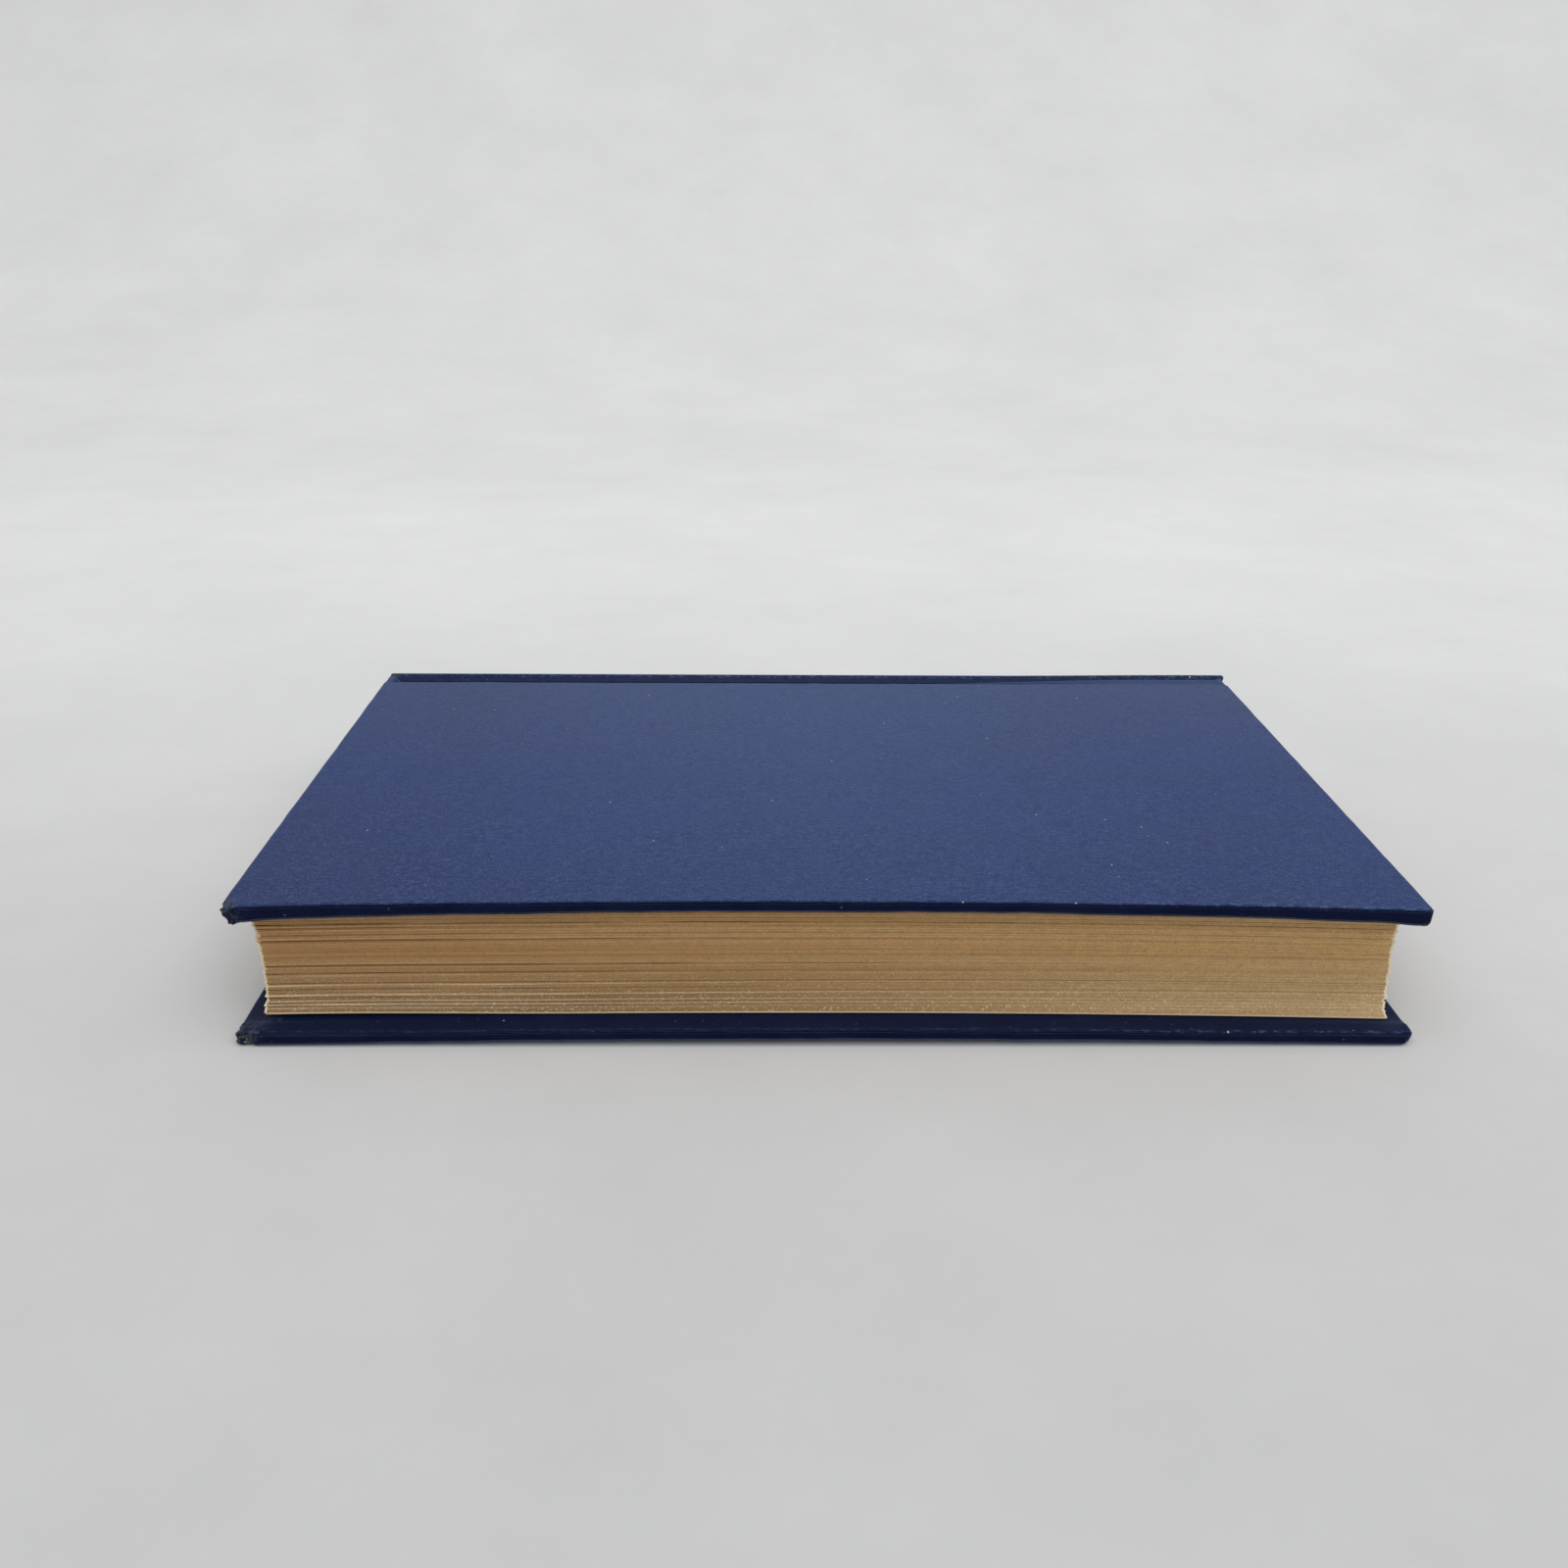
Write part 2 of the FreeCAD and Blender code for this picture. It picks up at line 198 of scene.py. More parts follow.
def bowed(points):
    """Raise points: one minus the square of the place along the spine, faded to nothing at the joint."""
    along = points[..., 0] / half_tall
    share = np.clip((board_end_y - points[..., 1]) / (board_end_y - fore_y), 0, 1)
    height = np.clip(points[..., 2] / book_thick, 0, 1)
    middle = (1 - along ** 2) * (1.2 + 0.2 * height)
    tail = 0.4 * (1 - along) / 2 * height
    raised = points.copy()
    raised[..., 2] += (middle + tail) * share * share * (3 - 2 * share) * mm
    return raised


# Book cloth: navy cotton filled with starch, glued over the boards. It has a fine slubby grain, a dull
# sheen, lighter rubs along the arrises that are also a painted highlight, small pale specks, a soft
# mottling from handling, painted shade on its walls, turn-ins, groove and spine flanks, and painted sheen
# on the outer face towards the spine.
def named_group(name, inputs, outputs):
    """Start a shader node group with number inputs and outputs, and return its tree and two ends."""
    tree = bpy.data.node_groups.new(name, "ShaderNodeTree")
    for label, value in inputs.items():
        tree.interface.new_socket(label, in_out="INPUT", socket_type="NodeSocketFloat").default_value = value
    for label in outputs:
        tree.interface.new_socket(label, in_out="OUTPUT", socket_type="NodeSocketFloat")
    return tree, add_node(tree, "NodeGroupInput"), add_node(tree, "NodeGroupOutput")


def stretched_noise(tree, scale, detail=2.0, roughness=0.5):
    """Noise on the object's own place, stretched by three scales, and return its value."""
    place = add_node(tree, "ShaderNodeTexCoord").outputs["Object"]
    mapped = add_node(tree, "ShaderNodeMapping", {"Vector": place, "Scale": scale}).outputs["Vector"]
    values = {"Vector": mapped, "Scale": 1.0, "Detail": detail, "Roughness": roughness}
    return add_node(tree, "ShaderNodeTexNoise", values).outputs["Fac"]


def remap(tree, value, low, high, to_low=0.0, to_high=1.0):
    """Map a value's range onto another one, clamped at both ends."""
    values = {"Value": value, "From Min": low, "From Max": high, "To Min": to_low, "To Max": to_high}
    return add_node(tree, "ShaderNodeMapRange", values).outputs["Result"]


def math_node(tree, operation, first, second=0.0):
    """One arithmetic step on two numbers or sockets."""
    node = add_node(tree, "ShaderNodeMath", operation=operation)
    for socket, value in zip(node.inputs, (first, second)):
        if isinstance(value, bpy.types.NodeSocket):
            tree.links.new(value, socket)
        else:
            socket.default_value = value
    return node.outputs["Value"]


def mix_colour(tree, share, first, second):
    """Blend two colours by a share that is a number or a socket."""
    node = add_node(tree, "ShaderNodeMix", data_type="RGBA")
    for socket, value in ((node.inputs["Factor"], share), (node.inputs[6], first), (node.inputs[7], second)):
        if isinstance(value, bpy.types.NodeSocket):
            tree.links.new(value, socket)
        else:
            socket.default_value = value
    return node.outputs[2]


def weave_group():
    """Threads both ways: two noises, each longer in one direction, added to one fine even noise."""
    tree, start, end = named_group("thread_grain", {}, ["Height"])
    along = stretched_noise(tree, (620, 2700, 2700), 2.0, 0.6)
    across = stretched_noise(tree, (2500, 1300, 2500), 2.0, 0.6)
    fine = stretched_noise(tree, (4200, 4200, 4200), 1.0, 0.5)
    total = math_node(tree, "ADD", math_node(tree, "ADD", along, across), math_node(tree, "MULTIPLY", fine, 0.6))
    tree.links.new(math_node(tree, "MULTIPLY", total, 0.385), end.inputs["Height"])
    return tree


def specks_group():
    """Rare small spots: the inside of a small circle in a few of the cells of a Voronoi pattern."""
    inputs = {"Cells": 300.0, "Radius": 0.06, "Share": 0.10}
    tree, start, end = named_group("specks", inputs, ["Mask"])
    place = add_node(tree, "ShaderNodeTexCoord").outputs["Object"]
    cells = add_node(tree, "ShaderNodeTexVoronoi", {"Vector": place, "Scale": start.outputs["Cells"]})
    lot = add_node(tree, "ShaderNodeSeparateColor", {"Color": cells.outputs["Color"]}).outputs["Red"]
    chosen = math_node(tree, "LESS_THAN", lot, start.outputs["Share"])
    near = math_node(tree, "LESS_THAN", cells.outputs["Distance"], start.outputs["Radius"])
    tree.links.new(math_node(tree, "MULTIPLY", chosen, near), end.inputs["Mask"])
    return tree


thread_grain = weave_group()
specks = specks_group()


def cloth_material(name):
    """Navy cloth. One mask is 1 on the outer faces and 0 on the edges, turn-ins and groove, which take a
    darker navy as painted shade; another is 1 on an arris, lightened both as wear and as a painted
    highlight; fray is 1 where the threads have worn, and crease in a crushed fold."""
    material, tree, shader = surface_material(name)
    grain = add_node(tree, "ShaderNodeGroup", node_tree=thread_grain).outputs["Height"]
    handled = stretched_noise(tree, (26, 34, 26), 4.0, 0.6)
    blotches = stretched_noise(tree, (190, 260, 190), 3.0, 0.6)
    unshaded = add_node(tree, "ShaderNodeAttribute", attribute_name="unshaded").outputs["Fac"]
    dull = mix_colour(tree, remap(tree, handled, 0.3, 0.7), (0.028, 0.046, 0.130, 1), (0.025, 0.048, 0.158, 1))
    dull = mix_colour(tree, remap(tree, blotches, 0.35, 0.75, 0.0, 0.35), dull, (0.040, 0.057, 0.140, 1))
    place = add_node(tree, "ShaderNodeSeparateXYZ", {"Vector": add_node(tree, "ShaderNodeTexCoord").outputs["Object"]})
    # Painted sheen: the outer face is painted lighter towards the spine, where the view grazes it.
    dull = mix_colour(tree, remap(tree, place.outputs["Y"], -0.01, board_end_y, 0.0, 0.5), dull, (0.060, 0.086, 0.170, 1))
    # It is also lighter towards the middle of the length and darker towards the tail end.
    off_middle = math_node(tree, "ABSOLUTE", place.outputs["X"])
    dull = mix_colour(tree, remap(tree, off_middle, 0, 75 * mm, 0.32, 0.0), dull, (0.053, 0.087, 0.200, 1))
    dull = mix_colour(tree, remap(tree, place.outputs["X"], -50 * mm, -half_tall, 0.0, 0.22), dull, (0.014, 0.024, 0.075, 1))
    # Painted shade: darker towards the fore edge, the more so at the tail end, the counterpart of the painted sheen.
    near_fore_shade = remap(tree, place.outputs["Y"], fore_y + 60 * mm, fore_y, 0.0, 0.32)
    near_fore_shade = math_node(tree, "MULTIPLY", near_fore_shade, remap(tree, place.outputs["X"], -half_tall, half_tall, 1.15, 0.70))
    dull = mix_colour(tree, near_fore_shade, dull, (0.017, 0.028, 0.082, 1))
    dull = mix_colour(tree, remap(tree, grain, 0.38, 0.50, 0.70, 0.0), dull, (0.010, 0.020, 0.075, 1))
    dull = mix_colour(tree, remap(tree, grain, 0.50, 0.64, 0.0, 0.65), dull, (0.080, 0.110, 0.225, 1))
    # Painted shade: the walls, turn-ins, groove and spine flanks take this darker navy, mixed in by the mask that is 1
    # on the outer faces.
    deep = mix_colour(tree, remap(tree, blotches, 0.35, 0.75), (0.0008, 0.0032, 0.022, 1), (0.0028, 0.0062, 0.030, 1))
    navy = mix_colour(tree, unshaded, deep, dull)
    # The arris mask lightens the cloth partly as real rubbing and partly as a painted highlight.
    rub_and_highlight = add_node(tree, "ShaderNodeAttribute", attribute_name="rub_and_highlight").outputs["Fac"]
    patchy = stretched_noise(tree, (800, 2400, 2400), 4.0, 0.75)
    scuff_and_highlight = math_node(tree, "MULTIPLY", rub_and_highlight, remap(tree, patchy, 0.51, 0.60))
    navy = mix_colour(tree, math_node(tree, "MULTIPLY", scuff_and_highlight, 0.60), navy, (0.11, 0.18, 0.33, 1))
    crease = add_node(tree, "ShaderNodeAttribute", attribute_name="crease").outputs["Fac"]
    cracked = math_node(tree, "MULTIPLY", crease, remap(tree, stretched_noise(tree, (1100, 1100, 1100), 4.0, 0.7), 0.5, 0.62))
    navy = mix_colour(tree, math_node(tree, "MULTIPLY", cracked, 0.7), navy, (0.10, 0.12, 0.17, 1))
    fray = add_node(tree, "ShaderNodeAttribute", attribute_name="fray").outputs["Fac"]
    threads = remap(tree, stretched_noise(tree, (1400, 1400, 1400), 3.0, 0.7), 0.42, 0.58)
    bare = math_node(tree, "MULTIPLY", fray, threads)
    navy = mix_colour(tree, bare, navy, (0.055, 0.060, 0.056, 1))
    spot = add_node(tree, "ShaderNodeGroup", {"Cells": 300.0, "Radius": 0.06, "Share": 0.10}, node_tree=specks)
    navy = mix_colour(tree, math_node(tree, "MULTIPLY", spot.outputs["Mask"], 0.8), navy, (0.42, 0.45, 0.50, 1))
    nub = add_node(tree, "ShaderNodeGroup", {"Cells": 600.0, "Radius": 0.10, "Share": 0.25}, node_tree=specks)
    navy = mix_colour(tree, math_node(tree, "MULTIPLY", nub.outputs["Mask"], 0.30), navy, (0.20, 0.24, 0.34, 1))
    tree.links.new(navy, shader.inputs["Base Color"])
    tree.links.new(remap(tree, grain, 0.3, 0.8, 0.50, 0.64), shader.inputs["Roughness"])
    bump = add_node(tree, "ShaderNodeBump", {"Height": grain, "Strength": 0.45, "Distance": 0.00012})
    tree.links.new(bump.outputs["Normal"], shader.inputs["Normal"])
    shader.inputs["Specular IOR Level"].default_value = 0.07
    shader.inputs["Sheen Weight"].default_value = 0.30
    shader.inputs["Sheen Roughness"].default_value = 0.28
    shader.inputs["Sheen Tint"].default_value = (0.40, 0.55, 1.0, 1)
    return material


book_cloth = cloth_material("navy_book_cloth")


def ripple(points, size, seed):
    """Soft irregular wave of height about one: twelve sine waves in random directions, added up."""
    draw = np.random.default_rng(seed)
    ways = draw.normal(size=(12, 3))
    lengths = size * draw.uniform(0.6, 1.8, 12)
    starts = draw.uniform(0, 2 * math.pi, 12)
    phases = np.asarray(points) @ (ways.T / np.linalg.norm(ways, axis=1) / lengths * 2 * math.pi) + starts
    return np.sin(phases).sum(-1) / 3.5


def smooth_step(low, high, value):
    """Rise smoothly from 0 at low to 1 at high."""
    share = np.clip((value - low) / (high - low), 0, 1)
    return share * share * (3 - 2 * share)


# The two covers' cloth: one sheet glued round each board, turned in on three sides, drawn down into the
# joint groove, and worn through to the board at the tail corners.
def fine_ends(length, step, ends):
    """Places from 0 to length that are close together at both ends and a step apart between them."""
    inner = np.linspace(ends[-1], length - ends[-1], max(int((length - 2 * ends[-1]) / step), 2) + 1)
    return np.concatenate([ends[:-1], inner, length - ends[-2::-1]])


def plan_places(low, high, tail_round, head_round):
    """A board's plan as a grid of places, with each one's distance from the three open sides' border
    and from the spine side.

    In a fore corner's square, the offsets from the arc's centre are shrunk so that the square becomes a
    quarter disc: each is multiplied by the root of one minus half the other's square.
    """
    ends = np.array([0, 0.12, 0.26, 0.42, 0.6, 0.85, 1.2, 1.7, 2.4, 3.2, 4.2, 5.6, 7.5, 10, 13]) * mm
    x = low.x + fine_ends(high.x - low.x, 4 * mm, ends)
    y = low.y + fine_ends(high.y - low.y, 4 * mm, ends)
    x, y = np.meshgrid(x, y)
    open_border = np.minimum(np.minimum(x - low.x, high.x - x), y - low.y)
    spine_border = high.y - y
    for side, edge, radius in ((-1, low.x, tail_round), (1, high.x, head_round)):
        across = np.clip(side * (x - edge) + radius, 0, None) / radius
        along = np.clip(low.y + radius - y, 0, None) / radius
        inside = (across > 0) & (along > 0)
        new_across = across * np.sqrt(1 - along ** 2 / 2)
        new_along = along * np.sqrt(1 - across ** 2 / 2)
        x = np.where(inside, edge + side * radius * (new_across - 1), x)
        y = np.where(inside, low.y + radius * (1 - new_along), y)
    return x, y, open_border, spine_border


def arris_drop(border, radius):
    """How far a rounded arris falls below the face at a distance from the border: a quarter circle."""
    return radius - np.sqrt(radius ** 2 - np.clip(radius - border, 0, radius) ** 2)


def board_patches(low, high, tail_round, head_round, arris, flat_at_spine):
    """The outer face, the inner face and the wall between them, as grids of points that share edges.

    Where the inner face is to run on across the joint, it has no rounded arris at the spine side.
    """
    x, y, open_border, spine_border = plan_places(low, high, tail_round, head_round)
    drop = arris_drop(np.minimum(open_border, spine_border), arris)
    inner_drop = arris_drop(open_border, arris) if flat_at_spine else drop
    outer = np.stack([x, y, high.z - drop], axis=-1)
    inner = np.stack([x, y, low.z + inner_drop], axis=-1)
    around = np.concatenate([outer[::-1, 0], outer[0, 1:], outer[1:, -1]])
    heights = np.linspace(high.z - arris, low.z + arris, 9)
    wall = np.repeat(around[None], len(heights), axis=0)
    wall[..., 2] = heights[:, None]
    return outer, inner, wall


def join_patches(name, patches, material, merge=2e-6):
    """One mesh from several grids of points. A patch is its points, a turned flag and a mask of quads."""
    points, faces, first = [], [], 0
    for grid, turned, mask in patches:
        quads = grid_faces(*grid.shape[:2], first)
        quads = quads[mask.ravel()] if mask is not None else quads
        faces.extend(quads[:, ::-1] if turned else quads)
        points.append(grid.reshape(-1, 3))
        first += grid.shape[0] * grid.shape[1]
    piece = new_piece(name, np.concatenate(points), faces, material)
    shape = bmesh.new()
    shape.from_mesh(piece.data)
    bmesh.ops.remove_doubles(shape, verts=shape.verts, dist=merge)
    bmesh.ops.delete(shape, geom=[v for v in shape.verts if not v.link_faces], context="VERTS")
    bmesh.ops.dissolve_degenerate(shape, edges=shape.edges, dist=1e-7)
    shape.to_mesh(piece.data)
    shape.free()
    return piece


def read_points(piece):
    """A mesh's points as an array."""
    flat = np.empty(len(piece.data.vertices) * 3)
    piece.data.vertices.foreach_get("co", flat)
    return flat.reshape(-1, 3)


def write_points(piece, points):
    """Put an array of points back into the mesh."""
    piece.data.vertices.foreach_set("co", np.asarray(points, np.float32).ravel())
    piece.data.update()


def write_mask(piece, name, values):
    """Store a number for each point, which a material reads by its name."""
    layer = piece.data.attributes.new(name, "FLOAT", "POINT")
    layer.data.foreach_set("value", np.clip(values, 0, 1).astype(np.float32))


def thicken(piece, thickness):
    """Give a sheet its thickness inwards from the side that its faces point to."""
    solid = piece.modifiers.new("thickness", "SOLIDIFY")
    solid.thickness = thickness
    solid.offset = -1
    solid.use_even_offset = False
    depsgraph = bpy.context.evaluated_depsgraph_get()
    finished = bpy.data.meshes.new_from_object(piece.evaluated_get(depsgraph))
    piece.modifiers.clear()
    piece.data = finished


def turned_over(points, side):
    """Turn points drawn for the front cover over to the back one, if side says so."""
    if side == "front":
        return points
    return points * (1, 1, -1) + (0, 0, book_thick)


flyleaf_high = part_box("front_flyleaf")[1]
crease_y = flyleaf_high.y
hinge_y = cover_high.y
shoulder_drop = 0.65 * mm
turn_in = 15 * mm
arris_round = 0.45 * mm
groove_level = board_low.z + cloth_thick
groove_fillet = 1.1 * mm
tail_round = {"front": 0.5 * mm, "back": 0.5 * mm}
head_round = {"front": 1.0 * mm, "back": 1.5 * mm}
fold_ahead = 0.13 * mm
fold_behind = 0.37 * mm
hole_reach = {"front": 1.6 * mm, "back": 2.4 * mm}
hole_place = {"front": (-half_tall + 0.3 * mm, fore_y + 0.9 * mm), "back": (-half_tall + 0.6 * mm, fore_y + 0.7 * mm)}


def corner_wear(points, side):
    """1 where the cloth has gone at the tail corner, 0 past its reach: a distance made ragged."""
    distance = np.linalg.norm(points[:, :2] - hole_place[side], axis=1)
    ragged = distance + 0.35 * mm * ripple(points, 1.6 * mm, 11) + 0.2 * mm * ripple(points, 0.5 * mm, 12)
    below = smooth_step(0.3, 0.9, (cover_high.z - points[:, 2]) / (cover_high.z - board_low.z))
    if side == "front":
        ragged = ragged + 1.4 * mm * below
    return 1 - smooth_step(0.8, 1.0, ragged / hole_reach[side])


def crushed(points, side):
    """Push the fore corners in at the lower arris and draw the tail ones out at the upper one, fading
    over 3.4 mm, and crumple them by waves of 1.1 mm."""
    thick = cover_high.z - board_low.z
    lowest = board_low.z if side == "front" else 0.0
    drop = 1 - np.clip((points[:, 2] - lowest) / thick, 0, 1)
    moved = points.copy()
    tail_shape = (0.85, 0.45, 0.45, 0.16, 0.12) if side == "front" else (0.15, 0.35, 0, 0.16, 0.26)
    head_shape = (0.15, 0, 0, 0.05, 0.05) if side == "front" else (0.8, 0, 0, 0.05, 0.05)
    for end, shape in ((-1, tail_shape), (1, head_shape)):
        push, pull, droop, lift, crumple = np.array(shape) * mm
        corner = np.array([end * half_tall, fore_y])
        distance = np.linalg.norm(points[:, :2] - corner, axis=1)
        near = 1 - smooth_step(0.6 * mm, 3.4 * mm, distance)
        dented = 1 + 0.22 * ripple(points, 1.5 * mm, 61 + end)
        amount = near * (drop ** 1.3 * push * dented - (1 - drop) * pull)
        moved[:, 0] -= end * (amount + near * crumple * ripple(points * (1, 1, 2), 1.1 * mm, 71 + end))
        moved[:, 1] += amount * 0.35 + near * crumple * ripple(points * (1, 1, 2), 1.1 * mm, 75 + end)
        loose = 1 if side == "front" else drop * 0.3 + 0.7
        moved[:, 2] += near * (lift * ripple(points, 2.2 * mm, 67 + end) * loose - droop)
    return moved


def thick_corners(points, side, inner_level):
    """Lower the lip of the inner face near its two fore corners, where the folded cloth is doubled."""
    near_end = smooth_step(half_tall - 42 * mm, half_tall - 3 * mm, np.abs(points[:, 0]))
    if side == "front":
        near_end += 1.1 * smooth_step(half_tall - 9 * mm, half_tall - 1 * mm, np.abs(points[:, 0]))
        near_end += 0.55 * smooth_step(35 * mm, 65 * mm, np.abs(points[:, 0]))
    lip = 1 - smooth_step(3.2 * mm, 5.0 * mm, points[:, 1] - fore_y)
    share = 1 - smooth_step(inner_level, inner_level + 2 * mm, points[:, 2])
    lowered = points.copy()
    lowered[:, 2] -= 0.42 * mm * near_end * lip * share
    return lowered


def groove_fill(side, x, y):
    """How full the joint groove is, from 0 to 1: full at its two ends, where the doubled cloth is not
    pressed in, and on the front cover ever shallower towards the head."""
    filled = smooth_step(half_tall - 2.8 * mm, half_tall - 1.0 * mm, np.abs(x))
    if side == "front":
        filled = np.maximum(filled, 0.85 * smooth_step(25 * mm, 90 * mm, x))
    return filled * smooth_step(board_end_y - 0.1 * mm, board_end_y + 0.8 * mm, y)


def make_cover_cloth(side):
    """The sheet: board patches without the inner face's middle, the profile down to the crease, and the
    turn-ins at head and tail run on across the joint.

    Between the two rows beside the hinge line there are no points.
    """
    low = Vector((-half_tall, fore_y, board_low.z))
    high = Vector((half_tall, board_end_y, cover_high.z))
    outer, inner, wall = board_patches(low, high, tail_round[side], head_round[side], arris_round, True)
    centre = (inner[:-1, :-1] + inner[1:, 1:]) / 2
    ring = (np.abs(centre[..., 0]) > half_tall - turn_in) | (centre[..., 1] < fore_y + turn_in)
    turns = np.linspace(0, math.pi / 2, 6)
    down = np.linspace(high.z - arris_round, groove_level + groove_fillet, 5)
    fillet_y = board_end_y + groove_fillet * (1 - np.cos(turns))
    fillet_z = groove_level + groove_fillet * (1 - np.sin(turns))
    strip_y = np.append(np.linspace(fillet_y[-1], hinge_y - fold_behind, 6)[1:], (hinge_y + fold_ahead, crease_y))
    profile_y = np.concatenate([np.full(4, board_end_y), fillet_y, strip_y])
    profile_z = np.concatenate([down[:4], fillet_z, np.full(len(strip_y), groove_level)])
    back_x = outer[-1, :, 0]
    joint = np.stack(np.broadcast_arrays(back_x[None, :], profile_y[:, None], profile_z[:, None]), axis=-1)
    missing = np.maximum(book_thick - shoulder_drop - joint[..., 2], 0)
    joint[..., 2] += missing * groove_fill(side, joint[..., 0], joint[..., 1])
    run_on_y = np.linspace(board_end_y, hinge_y - fold_behind, 4)
    run_on_z = np.array([0, -0.02, -0.02, -0.02]) * mm
    run_on = np.stack([*np.broadcast_arrays(back_x[None, :], run_on_y[:, None]), inner[-1, :, 2] + run_on_z[:, None]], axis=-1)
    run_on_ring = np.repeat(np.abs(back_x[None, :-1] + back_x[None, 1:]) / 2 > half_tall - turn_in, 3, axis=0)
    patches = [
        (outer, False, None), (inner, True, ring), (wall, False, None), (joint, False, None),
        (run_on, True, run_on_ring),
    ]
    piece = join_patches(f"{side}_case_cloth", patches, book_cloth)
    points = read_points(piece)
    to_end = half_tall - np.abs(points[:, 0])
    to_fore = points[:, 1] - fore_y
    border = np.minimum(np.minimum(to_end, to_fore), np.abs(board_end_y - points[:, 1]))
    on_board = points[:, 1] < board_end_y + 0.02 * mm
    # Painted shade: this mask is 1 on the board's outer face, 0 on its walls, a little above 0 low on the inner face,
    # and from a third to nearly 1 in the joint groove, fuller where the groove is filled. The cloth is painted darker
    # where it is low.
    unshaded = smooth_step(high.z - 0.34 * mm, high.z - 0.10 * mm, points[:, 2]) * on_board
    in_groove = 0.34 + 0.60 * groove_fill(side, points[:, 0], points[:, 1])
    unshaded = np.maximum(unshaded, in_groove * (points[:, 2] > groove_level - 0.1 * mm) * ~on_board)
    unshaded = np.maximum(unshaded, 0.09 * (1 - smooth_step(low.z + 0.05 * mm, low.z + 0.3 * mm, points[:, 2])))
    near_arris = np.minimum(high.z - points[:, 2], points[:, 2] - low.z)
    # Rub and painted highlight: the arris mask grows towards the head, where the highlight lies along the arris.
    headward = 0.22 + 0.50 * smooth_step(0.02, 0.09, points[:, 0])
    rub_and_highlight = (1 - smooth_step(0.22 * mm, 0.6 * mm, near_arris)) * (1 - smooth_step(0.25 * mm, 0.8 * mm, border))
    rub_and_highlight *= np.where(points[:, 2] > (low.z + high.z) / 2, headward, 0.2 if side == "front" else 0.7 * headward)
    rub_and_highlight *= on_board
    distance = np.linalg.norm(points[:, :2] - hole_place[side], axis=1)
    wear = corner_wear(points, side)
    write_mask(piece, "unshaded", unshaded)
    write_mask(piece, "rub_and_highlight", rub_and_highlight)
    write_mask(piece, "fray", (1 - smooth_step(0.9, 1.35, distance / hole_reach[side])) * (1 - 0.6 * (unshaded < 0.5)))
    fold = np.exp(-((to_end - to_fore) / (0.5 * mm)) ** 2) * (distance < 9 * mm) * (points[:, 2] < low.z + 0.3 * mm)
    crushed_zone = 1 - smooth_step(2 * mm, 6 * mm, distance)
    write_mask(piece, "crease", np.maximum(fold, crushed_zone * (0.3 if side == "front" else 0.6)))
    heart = np.array([-half_tall + 5 * mm, fore_y + 5 * mm, (low.z + high.z) / 2])
    inward = heart - points
    inward /= np.linalg.norm(inward, axis=1, keepdims=True) + 1e-9
    points += inward * (wear * 0.6 * mm)[:, None]
    points[:, 2] += 0.05 * mm * ripple(points, 9 * mm, 21) * (1 - smooth_step(0, 6 * mm, border))
    points[:, 2] -= 0.12 * mm * np.maximum(fold, 0) * ripple(points, 2.5 * mm, 23)
    points = thick_corners(points, side, low.z)
    write_points(piece, crushed(turned_over(points, side), side))
    if side == "back":
        piece.data.flip_normals()
    thicken(piece, cloth_thick)
    write_points(piece, bowed(read_points(piece)))
    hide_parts(f"{side}_cover_cloth")
    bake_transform(piece)


for side in ("front", "back"):
    make_cover_cloth(side)


# The grey boards: pasteboard made of waste paper. They show only at the worn tail corners, where the
# layers have opened and gone furry.
def board_material():
    """Grey board: grey-green, layered across its thickness, with fibres standing up from the surface."""
    material, tree, shader = surface_material("grey_board")
    layers = stretched_noise(tree, (150, 150, 3200), 3.0, 0.6)
    fibres = stretched_noise(tree, (1500, 1500, 1500), 4.0, 0.7)
    colour = mix_colour(tree, remap(tree, layers, 0.35, 0.65), (0.016, 0.018, 0.018, 1), (0.062, 0.066, 0.060, 1))
    colour = mix_colour(tree, remap(tree, fibres, 0.54, 0.64, 0.0, 0.8), colour, (0.30, 0.31, 0.28, 1))
    colour = mix_colour(tree, remap(tree, fibres, 0.30, 0.46, 0.9, 0.0), colour, (0.012, 0.014, 0.016, 1))
    tree.links.new(colour, shader.inputs["Base Color"])
    shader.inputs["Roughness"].default_value = 0.95
    height = math_node(tree, "ADD", layers, fibres)
    bump = add_node(tree, "ShaderNodeBump", {"Height": height, "Strength": 0.8, "Distance": 0.0002})
    tree.links.new(bump.outputs["Normal"], shader.inputs["Normal"])
    return material


grey_board = board_material()


